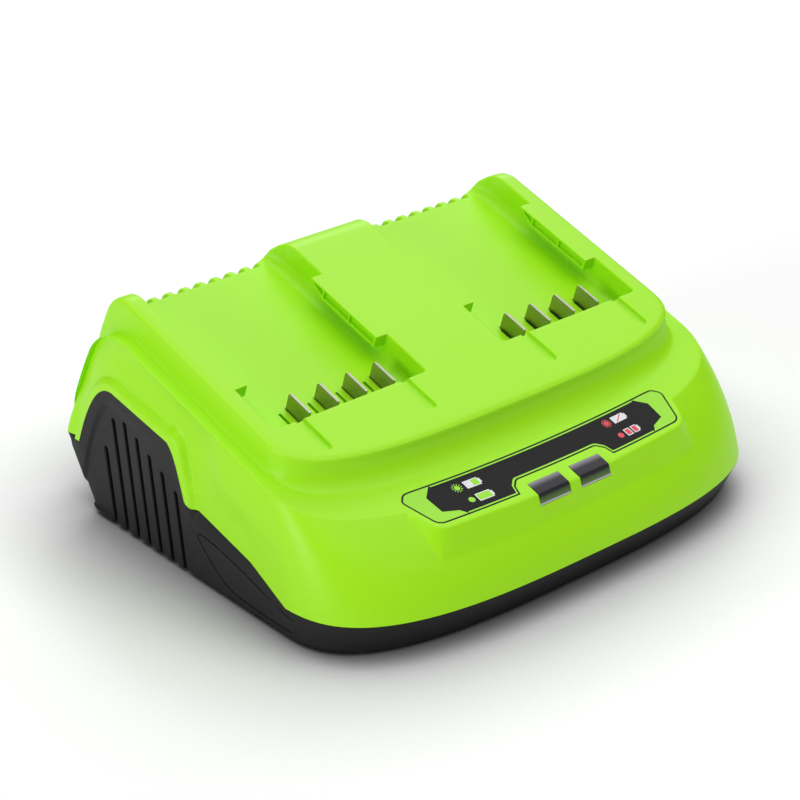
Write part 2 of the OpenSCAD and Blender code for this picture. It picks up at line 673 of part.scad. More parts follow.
module base_housing() {
    color("dimgray") difference() {
        union() {
            difference() {
                base_form(0, -seam);
                base_form(wall, CUT);
                vent_slots();
            }
            for (p = SCREW_AT) translate([p[0], p[1], foot_h + 0.5])
                cylinder(r = screw_head_r + 1.5, h = BASE_BOSS_TOP - foot_h - 0.5);
            for (p = BOARD_AT) translate([p[0], p[1], foot_h + 1])
                cylinder(r = 3.4, h = board_z - foot_h - 1);
            translate([gland_x, gland_back, gland_z]) rotate([-90, 0, 0])
                cylinder(r = gland_r + GLAND_WALL, h = gland_face - gland_back);
            fan_cradle();
        }
        for (p = SCREW_AT) translate([p[0], p[1], 0]) {
            cylinder(r = screw_r + 0.3, h = BASE_BOSS_TOP + CUT);
            cylinder(r = screw_head_r + 0.3, h = foot_h + 4.5);
        }
        for (p = BOARD_AT) translate([p[0], p[1], board_z - 6]) cylinder(r = 1.15, h = 7);
        for (p = FOOT_AT) translate([p[0], p[1], 0]) cylinder(r = foot_r + FIT, h = foot_h + FOOT_SINK);
        translate([gland_x, gland_back - CUT, gland_z]) rotate([-90, 0, 0])
            cylinder(r = gland_r + FIT, h = gland_face - gland_back + 2 * CUT);
        translate([gland_x, gland_face, gland_z]) rotate([-90, 0, 0])
            cylinder(r = gland_r + 2.3, h = 12);
        keyholes();
    }
}

// ---------------------------------------------------------------- label and lights

module label_plate() {
    color("black") in_deck() translate([0, 0, -ledge_drop - label_t + TOUCH])
        linear_extrude(label_t - 2 * TOUCH) label_outline(FIT);
}

module light_lens(side) {
    color([0.15, 0.15, 0.16, 0.8]) lens_body(side, 0);
}

module display_board() {
    color("darkgreen") in_deck() difference() {
        translate([-DISPLAY_W / 2, DISPLAY_S, DISPLAY_H - board_t]) cube([DISPLAY_W, DISPLAY_D, board_t]);
        for (side = [-1, 1]) translate([side * DISPLAY_HOLE_X, DISPLAY_S + DISPLAY_D / 2, DISPLAY_H])
            translate([0, 0, -board_t - CUT]) cylinder(r = 1.5, h = board_t + 2 * CUT);
    }
}

module status_lights() {
    color("white") in_deck() for (side = [-1, 1], i = [-1, 1])
        translate([side * (lens_w + lens_gap) / 2 + i * 3.5 - 1.6, DISPLAY_S + 1.5, DISPLAY_H + TOUCH])
            cube([3.2, 2.8, 1.9]);
}

// ---------------------------------------------------------------- terminals

BLOCK_W = (blade_count - 1) * blade_pitch + 16;
BLOCK_LEN = blade_len + 8;
BLOCK_HOLE_X = BLOCK_W / 2 + 2;
BLOCK_BOSS_R = 2.7;
BOSS_LEN = 6;
block_top = bay_floor_h - TOUCH;

module blade_set(side) {
    color("silver") one_bay(side) for (i = [0:blade_count - 1])
        translate([blade_x(i, side) - blade_t / 2, blade_start, 0])
            rotate([90, 0, 90]) linear_extrude(blade_t) polygon([[0, -blade_below],
                [blade_len - 0.8, -blade_below], [blade_len, -blade_below - 0.8],
                [blade_len, block_top - block_h + 2], [blade_len - 4, block_top - block_h + 2],
                [blade_len - 4, block_top - block_h - 4], [4, block_top - block_h - 4],
                [4, block_top - block_h + 2], [0, block_top - block_h + 2]]);
}

module terminal_block(side) {
    color([0.2, 0.2, 0.2]) one_bay(side) difference() {
        translate([-BLOCK_W / 2 - 6, 0, block_top - block_h]) cube([BLOCK_W + 12, BLOCK_LEN, block_h]);
        for (i = [0:blade_count - 1]) translate([blade_x(i, side), 0, 0]) {
            translate([-blade_t / 2 - TOUCH, blade_start - TOUCH, block_top - block_h + 2 - TOUCH])
                cube([blade_t + 2 * TOUCH, blade_len + 2 * TOUCH, block_h]);
            translate([-blade_t / 2 - TOUCH, blade_start + 4 - TOUCH, block_top - block_h - CUT])
                cube([blade_t + 2 * TOUCH, blade_len - 8 + 2 * TOUCH, block_h]);
        }
        for (end = [-1, 1]) translate([end * BLOCK_HOLE_X, BLOCK_LEN / 2, block_top]) {
            translate([0, 0, -block_h - CUT]) cylinder(r = screw_r + 0.2, h = block_h + 2 * CUT);
            translate([0, 0, TOUCH - BOSS_LEN - 0.1]) cylinder(r = BLOCK_BOSS_R + FIT, h = BOSS_LEN + CUT);
        }
    }
}

module terminal_screws() {
    color("gray") for (side = [-1, 1], end = [-1, 1]) one_bay(side)
        translate([end * BLOCK_HOLE_X, BLOCK_LEN / 2, block_top - block_h - 2.1]) {
            cylinder(r = screw_head_r - 0.4, h = 2);
            cylinder(r = screw_r - 0.1, h = block_h + 2);
        }
}

// ---------------------------------------------------------------- main board and what it carries

board_top = board_z + board_t;

module on_board(x, y) {
    translate([board_x + x, board_y + y, board_top]) children();
}

module main_board() {
    color("darkgreen") difference() {
        translate([board_x - board_w / 2, board_y - board_d / 2, board_z])
            cube([board_w, board_d, board_t]);
        for (p = BOARD_AT) translate([p[0], p[1], board_z - CUT]) cylinder(r = 1.7, h = board_t + 2 * CUT);
    }
}

module board_screws() {
    color("silver") for (p = BOARD_AT) translate([p[0], p[1], 0]) {
        translate([0, 0, board_top + TOUCH]) cylinder(r = 2.7, h = 1.8);
        translate([0, 0, board_z - 5]) cylinder(r = 1.1, h = board_t + 6);
    }
}

// Tall parts of the board end this far below the terminal blocks that hang over them
UNDER_BLOCK = 4;
UNDER_SCREWS = 4.6;
hang_z = deck_pt(BLOCK_LEN, block_top - block_h)[1];
bulk_h = hang_z - board_top - UNDER_BLOCK;
CORE = [42, 15, hang_z - board_top - UNDER_SCREWS];
CORE_LIMB = 6;

module transformer_core() {
    color([0.25, 0.25, 0.28]) on_board(8, 14) translate([0, 0, 2]) difference() {
        translate([-CORE[0] / 2, -CORE[1] / 2, 0]) cube(CORE);
        for (side = [-1, 1]) translate([side > 0 ? 6.5 : -CORE[0] / 2 + CORE_LIMB, -CORE[1], CORE_LIMB])
            cube([CORE[0] / 2 - CORE_LIMB - 6.5, 2 * CORE[1], CORE[2] - 2 * CORE_LIMB]);
    }
}

module transformer_winding() {
    color("goldenrod") on_board(8, 14) difference() {
        union() {
            translate([-16, -16, 0]) cube([32, 32, 1.9]);
            translate([0, 0, 1.5]) cylinder(r = 6, h = 0.4);
            translate([-14.6, -13.5, 2.2 + CORE_LIMB]) cube([29.2, 27, CORE[2] - 2 * CORE_LIMB - 0.5]);
        }
        translate([-6.5 - TOUCH, -CORE[1] / 2 - TOUCH, 1.9])
            cube([13 + 2 * TOUCH, CORE[1] + 2 * TOUCH, 40]);
    }
}

// Finned extrusion standing on the board
module heat_sink(length, fins) {
    linear_extrude(30) {
        translate([-length / 2, -1.5]) square([length, 3]);
        for (i = [0:fins - 1]) translate([-length / 2 + i * (length - 1.6) / (fins - 1), 0])
            square([1.6, 12]);
    }
}

module heat_sink_primary() {
    color("lightgray") on_board(-34, 38) heat_sink(60, 9);
}

module heat_sink_secondary() {
    color("lightgray") on_board(42, 38) heat_sink(54, 8);
}

module power_transistors() {
    color([0.12, 0.12, 0.12]) for (x = [-54, -38, -22, 28, 44, 60]) on_board(x, 38)
        translate([-5, -1.5 - 4.6 - TOUCH, 9]) {
            cube([10, 4.6, 15]);
            for (i = [-1, 0, 1]) translate([4.5 + i * 2.54, 1.8, -9]) cube([1, 0.8, 9.5]);
        }
}

module bulk_capacitors() {
    color("midnightblue") for (x = [-58, -33]) on_board(x, 16) {
        cylinder(r = 11, h = bulk_h - 1);
        translate([0, 0, bulk_h - 1]) cylinder(r1 = 11, r2 = 10, h = 1);
    }
}

module output_capacitors() {
    color("darkslategray") for (y = [-8, 4, 16]) on_board(42, y) cylinder(r = 5, h = 20);
}

module filter_choke() {
    color("peru") on_board(-50, -32) {
        translate([0, 0, 9]) rotate_extrude() translate([8.5, 0]) circle(4.2);
        difference() {
            cylinder(r = 13, h = 4.5);
            translate([0, 0, 9]) rotate_extrude() translate([8.5, 0]) circle(4.2 + TOUCH);
        }
    }
}

module fuse() {
    color("ivory") on_board(-20, -24) {
        translate([-10, 0, 4.6]) rotate([0, 90, 0]) cylinder(r = 2.6, h = 20);
        for (x = [-8.5, 6.5]) translate([x, -3, 0]) cube([2, 6, 4.4]);
    }
}

module mains_terminal() {
    color("ivory") on_board(62, 0) {
        cube([9, 24, 11]);
        for (y = [5, 12, 19]) translate([4.5, y, 11]) cylinder(r = 2, h = 0.8);
    }
}

module output_sockets() {
    color("white") for (x = [-4, 34]) on_board(x, -46) difference() {
        translate([-13, -4, 0]) cube([26, 8, 9]);
        for (i = [-1.5:1.5]) translate([i * 6, 0, 3]) cylinder(r = 1.4, h = 7);
    }
}

// ---------------------------------------------------------------- fan

module at_fan() {
    translate([fan_x, fan_y, fan_z]) rotate([0, 90, 0]) children();
}

BEARING_R = 2.7;
POST_R = 3.8;

module fan_frame() {
    color([0.12, 0.12, 0.13]) at_fan() {
        difference() {
            translate([-fan_size / 2, -fan_size / 2, 0]) cube([fan_size, fan_size, fan_t]);
            translate([0, 0, -CUT]) cylinder(r = duct_r, h = fan_t + 2 * CUT, $fn = 64);
            for (sx = [-1, 1], sy = [-1, 1])
                translate([sx * (fan_size / 2 - 4), sy * (fan_size / 2 - 4), -CUT])
                    cylinder(r = 2.1, h = fan_t + 2 * CUT);
        }
        difference() {
            union() {
                cylinder(r = hub_r + 0.6, h = 1.5);
                cylinder(r = POST_R, h = fan_t - 4.6);
                for (i = [0:2]) rotate(i * 120 + 30) translate([hub_r - 1, -1.2, 0])
                    cube([duct_r - hub_r + 2, 2.4, 1.5]);
            }
            translate([0, 0, 1.8]) cylinder(r = BEARING_R, h = fan_t);
        }
    }
}

module fan_bearing() {
    color("goldenrod") at_fan() translate([0, 0, 1.8]) difference() {
        cylinder(r = BEARING_R, h = fan_t - 6.6);
        translate([0, 0, -CUT]) cylinder(r = shaft_r + shaft_clear, h = fan_t);
    }
}

module fan_stator() {
    color("peru") at_fan() translate([0, 0, 2.2]) difference() {
        union() {
            cylinder(r = 5.4, h = 6.5);
            for (i = [0:3]) rotate(i * 90) {
                translate([4, -1.6, 0]) cube([3, 3.2, 6.5]);
                intersection() {
                    cylinder(r = hub_r - 2.6, h = 6.5);
                    translate([hub_r - 4.6, -4, 0]) cube([4, 8, 6.5]);
                }
            }
        }
        translate([0, 0, -CUT]) cylinder(r = POST_R + TOUCH, h = 9);
    }
}

module fan_rotor() {
    color([0.16, 0.16, 0.17]) at_fan() {
        difference() {
            translate([0, 0, 2]) cylinder(r = hub_r, h = fan_t - 2.8);
            translate([0, 0, 1]) cylinder(r = hub_r - 1.6, h = fan_t - 4.4);
            cylinder(r = shaft_r, h = fan_t + CUT);
        }
        for (i = [0:fan_blades - 1]) rotate(i * 360 / fan_blades) translate([0, 0, 3])
            linear_extrude(fan_t - 5, twist = 34, slices = 4)
                translate([hub_r - 0.5, -0.6]) square([duct_r - tip_gap - hub_r + 0.5, 1.2]);
    }
}

module fan_shaft() {
    color("silver") at_fan() translate([0, 0, 2.2]) cylinder(r = shaft_r, h = fan_t - 3);
}

// ---------------------------------------------------------------- base fittings

module cord_gland() {
    color([0.1, 0.1, 0.1]) translate([gland_x, 0, gland_z]) rotate([-90, 0, 0]) difference() {
        union() {
            translate([0, 0, gland_back - 2.6]) cylinder(r = gland_r + 2, h = 2.5);
            translate([0, 0, gland_back - 2.6]) cylinder(r = gland_r, h = gland_face - gland_back + 2.6);
            translate([0, 0, gland_face + 0.1]) cylinder(r = gland_r + 2, h = 2);
            translate([0, 0, gland_face - 0.1]) cylinder(r = gland_r, h = 0.3);
        }
        translate([0, 0, gland_back - 4]) cylinder(r = cord_bore_r, h = 30);
    }
}

module rubber_feet() {
    color([0.1, 0.1, 0.1]) for (p = FOOT_AT) translate([p[0], p[1], 0]) {
        cylinder(r1 = foot_r - 0.8, r2 = foot_r, h = 0.8);
        translate([0, 0, 0.8]) cylinder(r = foot_r, h = foot_h + FOOT_SINK - 0.8 - TOUCH);
    }
}

module housing_screws() {
    color("silver") for (p = SCREW_AT) translate([p[0], p[1], foot_h + 2]) {
        difference() {
            cylinder(r = screw_head_r, h = 2.4);
            for (a = [0, 90]) rotate(a) translate([-1.9, -0.4, -CUT]) cube([3.8, 0.8, 1 + CUT]);
        }
        cylinder(r = screw_r, h = 14);
    }
}

top_cover();
base_housing();
label_plate();
light_lens(-1);  // light_lens_left
light_lens(1);  // light_lens_right
blade_set(-1);  // terminal_blades_left
blade_set(1);  // terminal_blades_right
terminal_block(-1);  // terminal_block_left
terminal_block(1);  // terminal_block_right
terminal_screws();
display_board();
status_lights();
main_board();
board_screws();
transformer_core();
transformer_winding();
heat_sink_primary();
heat_sink_secondary();
power_transistors();
bulk_capacitors();
output_capacitors();
filter_choke();
fuse();
mains_terminal();
output_sockets();
fan_frame();
fan_bearing();
fan_stator();
fan_rotor();
fan_shaft();
cord_gland();
rubber_feet();
housing_screws();
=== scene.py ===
"""Twin-bay tool battery charger: detailed surfaces, finishes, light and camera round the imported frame.

Shapes are worked out in millimetres in the frame's axes (X right, Y back, Z up) and written to
the meshes in metres. Positions on the sloping deck are given as x, s, h: s is the distance up the
slope from the front wall of the bays, h the height above the deck.
"""
import math

import bmesh
import bpy
import numpy as np
from mathutils import Matrix, Vector


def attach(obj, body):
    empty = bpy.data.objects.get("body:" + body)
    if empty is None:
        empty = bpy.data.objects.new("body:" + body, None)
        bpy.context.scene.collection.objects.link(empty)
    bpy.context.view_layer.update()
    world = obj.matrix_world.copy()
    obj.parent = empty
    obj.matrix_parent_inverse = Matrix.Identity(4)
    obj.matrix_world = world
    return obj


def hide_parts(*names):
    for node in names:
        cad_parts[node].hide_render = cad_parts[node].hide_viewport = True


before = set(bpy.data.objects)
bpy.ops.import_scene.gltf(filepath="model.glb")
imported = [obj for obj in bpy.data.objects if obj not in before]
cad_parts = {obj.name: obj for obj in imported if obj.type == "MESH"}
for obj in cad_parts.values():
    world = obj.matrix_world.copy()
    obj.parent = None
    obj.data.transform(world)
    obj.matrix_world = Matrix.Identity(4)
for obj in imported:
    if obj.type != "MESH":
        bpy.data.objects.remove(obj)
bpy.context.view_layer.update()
SHELL = "charger"
MM = 0.001

# ---- lengths, in millimetres
# the sloping deck: its tilt, and the point that its positions are counted from
TILT = math.radians(17)
COS_T, SIN_T, TAN_T = math.cos(TILT), math.sin(TILT), math.tan(TILT)
DECK_Y, DECK_Z = -21.0, 69.0
# the bays, with their rails, guide grooves, blade slots, mouths and louvres
BAY_X, BAY_HALF, BAY_DEPTH = 55.0, 35.5, 12.0
RAIL_START, RAIL_LEN, RAIL_REACH, RAIL_T, CORE_DEPTH = 23.5, 40.0, 5.15, 5.0, 1.5
GROOVE_X, GROOVE_HALF, GROOVE_LEN, GROOVE_DEPTH = 24.5, 2.0, 17.5, 1.6
BLADES, BLADE_PITCH, BLADE_S, BLADE_LEN = 4, 13.3, 4.7, 12.2
BLADE_OFF = {-1: 5.0, 1: 1.5}
BLADE_SLOT_HALF, FLOOR_SLOT_OFF, FLOOR_SLOT_HALF = 0.8, 0.7, 0.65
MOUTH_S, MOUTH_LEAN, MOUTH_R, MOUTH_ROLL, MOUTH_TURN = 86.0, 0.4, 4.0, 89.9, 77
LOUVRES, LOUVRE_PITCH = 8, 7.3
# the cover's tiers: deck, ledge and full width
DECK_HALF, LEDGE_HALF, SIDE_HALF = 98.0, 105.0, 109.0
ARCH_S, ARCH_R, REAR_SLOPE = 80.0, 13.0, math.radians(59)
LEDGE_DROP, LEDGE_ARCH_S, LEDGE_ARCH_R = 9.7, 69.0, 22.0
DECK_FRONT, FOOT_FRONT, LEDGE_FRONT, BODY_FRONT, BODY_REAR = 29.4, 41.4, 53.0, -92.0, 92.0
TURN_Y, CORNER_R, WALL, SQUARE_UP = -41.0, 8.0, 2.5, 2 / 3
# the seam; each straight run of its shoulders is a height, the depth it is taken at and a slope
SEAM, SEAM_FRONT_Z, SEAM_REAR_Z = 0.2, 15.0, 30.5
LOW_TOP, LOW_RISE = (31.6, 7.8, 0.265), (16.5, -37.8, 1.0)
HIGH_TOP, HIGH_RISE, HIGH_FALL = (54.9, 26, 0.195), (42.2, 13.3, 3.2), (39.6, 74.8, -2.45)
# the lip round the high shoulder and where the wall behind it fades: along the side, and above the seam
LIP_DEPTH, LIP_EDGE, LIP_FADE, REAR_FADE = 2.4, (2.7, 4.7), (12, 26), (82, 90)
FRONT_FADE, LOW_FADE = (-40, -26), (8, 24)
# the base: its floor, skirt and draft, the panel behind the vent slots, keyholes and cord gland
FOOT_Z, BASE_IN_FRONT, BASE_IN_REAR, BASE_IN_SIDE = 3.0, 6.4, 13.0, 2.0
SHOULDER_H, SKIRT_Z, EDGE_R, SKIRT_T = 4.5, 1.2, 2.0, 2.4
PANEL_DEPTH, PANEL_EDGE, PANEL_FADE, PANEL_END = 0.9, (5.2, 6.6), (22, 56), (80, 84)
VENT_Y, VENT_PITCH, VENT_HALF, VENT_LEAN = 15.7, 7.65, 1.1, 0.07
VENT_TOPS = (33.2, 38.0, 41.8, 45.6, 49.0, 47.6, 33.0)
KEYHOLE_X, KEYHOLE_Y, KEYHOLE_R = 60.0, 4.0, 5.0
NECK_HALF, NECK_R, NECK_END = 2.2, 2.15, 20.2
GLAND_X, GLAND_Z = 60.0, 17.5
SCREWS = [(s * 98.3, 5.0) for s in (-1, 1)] + [(s * 84.0, -64.0) for s in (-1, 1)] + [(0, 65), (0, -72.05)]
FEET = [(s * 82.0, -65.0) for s in (-1, 1)] + [(s * 87.0, 60.0) for s in (-1, 1)]


# ---- mesh helpers
def on_deck(x, s, h):
    """Frame points of deck positions: s runs up the slope, h stands square to it."""
    x, s, h = np.broadcast_arrays(*(np.asarray(v, float) for v in (x, s, h)))
    return np.stack([x, DECK_Y + s * COS_T - h * SIN_T, DECK_Z + s * SIN_T + h * COS_T], -1)


def make_mesh(name, points, *face_groups):
    """Mesh object from points in millimetres and arrays of faces of equal length each."""
    mesh = bpy.data.meshes.new(name)
    points = np.asarray(points, float).reshape(-1, 3)
    groups = [np.asarray(g, np.int32) for g in face_groups if len(g)]
    loops = np.concatenate([g.ravel() for g in groups])
    sizes = np.concatenate([np.full(len(g), g.shape[1], np.int32) for g in groups])
    mesh.vertices.add(len(points))
    mesh.vertices.foreach_set("co", (points * MM).ravel())
    mesh.loops.add(len(loops))
    mesh.loops.foreach_set("vertex_index", loops)
    mesh.polygons.add(len(sizes))
    mesh.polygons.foreach_set("loop_start", np.concatenate([[0], np.cumsum(sizes)[:-1]]).astype(np.int32))
    mesh.update(calc_edges=True)
    mesh.validate()
    ob = bpy.data.objects.new(name, mesh)
    bpy.context.scene.collection.objects.link(ob)
    return ob


def points_of(ob):
    """Positions of the points of ob, in millimetres."""
    co = np.empty(len(ob.data.vertices) * 3)
    ob.data.vertices.foreach_get("co", co)
    return co.reshape(-1, 3) / MM


def ring_faces(rows, count):
    """Quads between successive closed rings of count points, outwards when a ring runs anticlockwise
    seen from its last row."""
    i = np.arange(count)
    j = (i + 1) % count
    base = (np.arange(rows - 1) * count)[:, None]
    return np.stack([base + i, base + j, base + count + j, base + count + i], -1).reshape(-1, 4)


def outward(ob):
    """Turns a closed mesh the right way round if its volume comes out negative."""
    me = ob.data
    me.calc_loop_triangles()
    tri = np.empty(len(me.loop_triangles) * 3, np.int32)
    me.loop_triangles.foreach_get("vertices", tri)
    a, b, c = points_of(ob)[tri.reshape(-1, 3)].transpose(1, 0, 2)
    if np.einsum("ij,ij->i", a, np.cross(b, c)).sum() < 0:
        me.flip_normals()
    return ob


def capped(name, rings):
    """Closed solid through rings of points, each end closed by one face."""
    rings = np.asarray(rings, float)
    rows, count = rings.shape[:2]
    i = np.arange(count)
    return outward(make_mesh(name, rings, ring_faces(rows, count), [i[::-1]], [i + (rows - 1) * count]))


def lofted(name, halves):
    """Closed solid through rings given by their right halves, rear to front and lowest first: a ring is
    the mirrored half, then the right one backwards. Both ends are ruled across the width."""
    halves = np.asarray(halves, float)
    rings = np.concatenate([halves * [-1, 1, 1], halves[:, ::-1]], 1)
    rows, count = rings.shape[:2]
    i = np.arange(count // 2 - 1)
    last = (rows - 1) * count
    low = np.stack([i, count - 1 - i, count - 2 - i, i + 1], -1)
    high = np.stack([i, i + 1, count - 2 - i, count - 1 - i], -1) + last
    return make_mesh(name, rings, ring_faces(rows, count), low, high)


def prism(name, outline, low, high, place):
    """Solid between two copies of an outline, at heights low and high, put in place by place(u, v, w)."""
    u, v = np.asarray(outline, float).T
    return capped(name, [place(u, v, low), place(u, v, high)])


def rounded(corners, segments):
    """Outline through corners given as (u, v, radius), each replaced by an arc tangent to both its sides."""
    pts = np.asarray(corners, float)
    out = []
    for k in range(len(pts)):
        p, q, n = pts[k, :2], pts[k - 1, :2], pts[(k + 1) % len(pts), :2]
        r = pts[k, 2]
        if r <= 0:
            out.append(p[None])
            continue
        a, b = (q - p) / np.linalg.norm(q - p), (n - p) / np.linalg.norm(n - p)
        half = math.acos(np.clip(a @ b, -1, 1)) / 2
        reach = r / math.tan(half)
        centre = p + (a + b) / np.linalg.norm(a + b) * r / math.sin(half)
        d0, d1 = p + a * reach - centre, p + b * reach - centre
        t = np.linspace(0, 1, segments + 1)[:, None]
        turn = math.acos(np.clip(d0 @ d1 / r / r, -1, 1))
        out.append(centre + (np.sin((1 - t) * turn) * d0 + np.sin(t * turn) * d1) / math.sin(turn))
    return np.concatenate(out)


def joined(name, parts):
    """One object from several, without touching their points."""
    points, faces, start = [], {}, 0
    for ob in parts:
        me = ob.data
        points.append(points_of(ob))
        sizes = np.empty(len(me.polygons), np.int32)
        me.polygons.foreach_get("loop_total", sizes)
        loops = np.empty(len(me.loops), np.int32)
        me.loops.foreach_get("vertex_index", loops)
        ends = np.cumsum(sizes)
        for k in np.unique(sizes):
            first = ends[sizes == k] - k
            faces.setdefault(int(k), []).append(loops[first[:, None] + np.arange(k)] + start)
        start += len(me.vertices)
        bpy.data.objects.remove(ob)
    return make_mesh(name, np.concatenate(points), *[np.concatenate(f) for f in faces.values()])


def combine(ob, tool, operation):
    """ob after a union or difference with tool; the tool is used up."""
    mod = ob.modifiers.new("combine", "BOOLEAN")
    mod.operation, mod.solver, mod.object = operation, "MANIFOLD", tool
    bake(ob)
    bpy.data.objects.remove(tool)


def cut(ob, tool):
    """Takes tool out of ob."""
    combine(ob, tool, "DIFFERENCE")


def fuse(ob, tool):
    """Makes ob and tool one solid."""
    combine(ob, tool, "UNION")


def bake(ob):
    """Applies the modifiers of ob."""
    graph = bpy.context.evaluated_depsgraph_get()
    mesh = bpy.data.meshes.new_from_object(ob.evaluated_get(graph))
    ob.modifiers.clear()
    ob.data = mesh


def soften(ob, width, segments=2, angle=40):
    """Bevel that rounds the edges of ob that turn by more than angle degrees."""
    mod = ob.modifiers.new("soft_edges", "BEVEL")
    mod.width, mod.segments, mod.limit_method = width * MM, segments, "ANGLE"
    mod.angle_limit = math.radians(angle)


def smooth(ob):
    """Smooth shading broken at sharp edges; flat faces keep their normals."""
    ob.data.shade_smooth()
    ob.data.set_sharp_from_angle(angle=math.radians(35))
    mod = ob.modifiers.new("even_normals", "WEIGHTED_NORMAL")
    mod.keep_sharp = True
    mod.weight = 80


def piece(ob, material, slot, *nodes):
    """Gives ob its finish, lets it ride the shell and stand for the frame's nodes."""
    ob.data.materials.clear()
    ob.data.materials.append(material)
    smooth(ob)
    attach(ob, SHELL)
    if nodes:
        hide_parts(*nodes)


def bent(a, control, b, t):
    """Points at shares t of the parabola from a to b that bends towards control."""
    return (1 - t) ** 2 * a + 2 * t * (1 - t) * control + t ** 2 * b


def curve_through(rings, per_span):
    """Quadratic B-spline through the first and last of the rings that follows those between."""
    mids = (rings[1:] + rings[:-1]) / 2
    mids[0], mids[-1] = rings[0], rings[-1]
    t = np.arange(1, per_span + 1)[:, None, None] / per_span
    spans = [bent(mids[k - 1], rings[k], mids[k], t) for k in range(1, len(rings) - 1)]
    return np.concatenate([rings[:1], *spans])


# ---- outlines of the two shells
def tier_height(y, drop, arch_s, arch_r, rear_in, end_up):
    """Height of a tier at depth y: the tilted plane, a round arch, then a wall that steepens to its end."""
    centre_y = DECK_Y + arch_s * COS_T + (drop + arch_r) * SIN_T
    centre_z = DECK_Z + arch_s * SIN_T - (drop + arch_r) * COS_T
    y_top, y_end = centre_y - arch_r * SIN_T, centre_y + arch_r * math.sin(REAR_SLOPE)
    z_end = centre_z + arch_r * math.cos(REAR_SLOPE)
    run = BODY_REAR - rear_in - y_end
    u, fall = (y - y_end) / run, run * math.tan(REAR_SLOPE)
    plane = DECK_Z + (y - DECK_Y) * TAN_T - drop / COS_T
    arch = centre_z + np.sqrt(np.maximum(0, arch_r ** 2 - (y - centre_y) ** 2))
    rear = z_end - fall * u - (z_end - SEAM_REAR_Z - end_up - fall) * u * u
    return np.where(y < y_top, plane, np.where(y < y_end, arch, rear))


def soft_min(a, b, k):
    """The smaller of a and b, eased over k where they meet."""
    return np.minimum(a, b) - np.maximum(k - np.abs(a - b), 0) ** 2 / (4 * k)


def straight(run, y):
    """Height at depth y of a straight run."""
    height, at, slope = run
    return height + (y - at) * slope


def high_line(y):
    """Top line of the high shoulder, its steep ends carried on below the seam."""
    front = soft_min(straight(HIGH_TOP, y), straight(HIGH_RISE, y), 11)
    return soft_min(front, straight(HIGH_FALL, y), 32)


def seam_height(y):
    """Height of the line between the shells: a low shoulder, then a high one with a steep rear."""
    low = soft_min(straight(LOW_TOP, y), straight(LOW_RISE, y), 5)
    high = high_line(y)
    return np.where(y < 58, np.maximum(np.maximum(SEAM_FRONT_Z, low), high), np.maximum(SEAM_REAR_Z, high))


def ease(low, high, v):
    """Cubic step from 0 at low to 1 at high."""
    t = np.clip((v - low) / (high - low), 0, 1)
    return t * t * (3 - 2 * t)


def over_line(line, y, z):
    """Distance of a side point from a line z = line(y), positive above it."""
    slope = line(y + 0.5) - line(y - 0.5)
    return (z - line(y)) / np.sqrt(1 + slope ** 2)


def side_in(y, z):
    """How far the side wall lies behind its full width: a lip stands round the high shoulder, the wall
    is deepest just above it, and it fades towards the ledge and, along the low shoulder, to the front."""
    above = over_line(high_line, y, z)
    ahead = ease(*FRONT_FADE, y) * (1 - ease(*LOW_FADE, z - seam_height(y)))
    return (LIP_DEPTH * ease(*LIP_EDGE, above) * (1 - ease(*REAR_FADE, y))
            * np.maximum(ahead, 1 - ease(*LIP_FADE, above)))


def drawn_in(half):
    """Ring points moved inwards by side_in."""
    half = np.array(half)
    half[..., 0] -= side_in(half[..., 1], half[..., 2])
    return half


SIDE_Y = np.concatenate([84 + 8 * np.sin(np.radians(np.linspace(90, 6, 13))), np.arange(83.5, -26.5, -1.0)])
FRONT_X = np.concatenate([[104.9, 104.6, 104, 103.2, 102.2, 101, 99.5, 97.8], np.arange(96, 71, -1.6),
                          np.arange(70.6, 54, -0.7), np.arange(52, 1, -2.6), [0.8]])
FRONT_ANGLE = np.arcsin((FRONT_X / 105) ** 1.5)
# shares of a ring's reach to the front and of its width along the squared-up quarter
FRONT_REACH, FRONT_WIDTH = np.cos(FRONT_ANGLE) ** SQUARE_UP, np.sin(FRONT_ANGLE) ** SQUARE_UP


def corner_in(y):
    """How far the rear corner's round draws the side in."""
    return CORNER_R - np.sqrt(np.maximum(0, CORNER_R ** 2 - np.maximum(0, y - BODY_REAR + CORNER_R) ** 2))


def tier_half(half_w, drop, arch_s, arch_r, rear_in, end_up, front, start):
    """Right half of a ring on a tier: along the side, then a squared-up quarter round the front."""
    y = np.where(SIDE_Y > 0, SIDE_Y * (BODY_REAR - rear_in) / BODY_REAR, SIDE_Y)
    z = tier_height(y, drop, arch_s, arch_r, rear_in, end_up)
    side = np.stack([half_w - corner_in(SIDE_Y), y, z], -1)
    quarter = on_deck(half_w * FRONT_WIDTH, -start - (front - start) * FRONT_REACH, -drop)
    return np.concatenate([side, quarter])


def seam_half(half_w, front, rear, lift):
    """Right half of a ring at the height of the seam plus lift."""
    y = np.where(SIDE_Y > 0, SIDE_Y * rear / BODY_REAR, SIDE_Y)
    side = np.stack([half_w - corner_in(SIDE_Y), y, seam_height(y) + lift], -1)
    y = TURN_Y + (front - TURN_Y) * FRONT_REACH
    quarter = np.stack([half_w * FRONT_WIDTH, y, seam_height(y) + lift], -1)
    return np.concatenate([side, quarter])


def bulging(low, high, t):
    """Point at share t of a wall that bulges out between two rings."""
    return bent(low, high + (low - high) * [0.78, 0.78, 0.415], high, t)


def swept_up(foot, edge, degrees):
    """Rings of a hollow quarter round from the foot up to the edge, at angles in degrees."""
    turns = [math.radians(a) for a in degrees]
    return [edge + (foot - edge) * [1 - math.cos(k), 1 - math.cos(k), math.sin(k)] for k in turns]


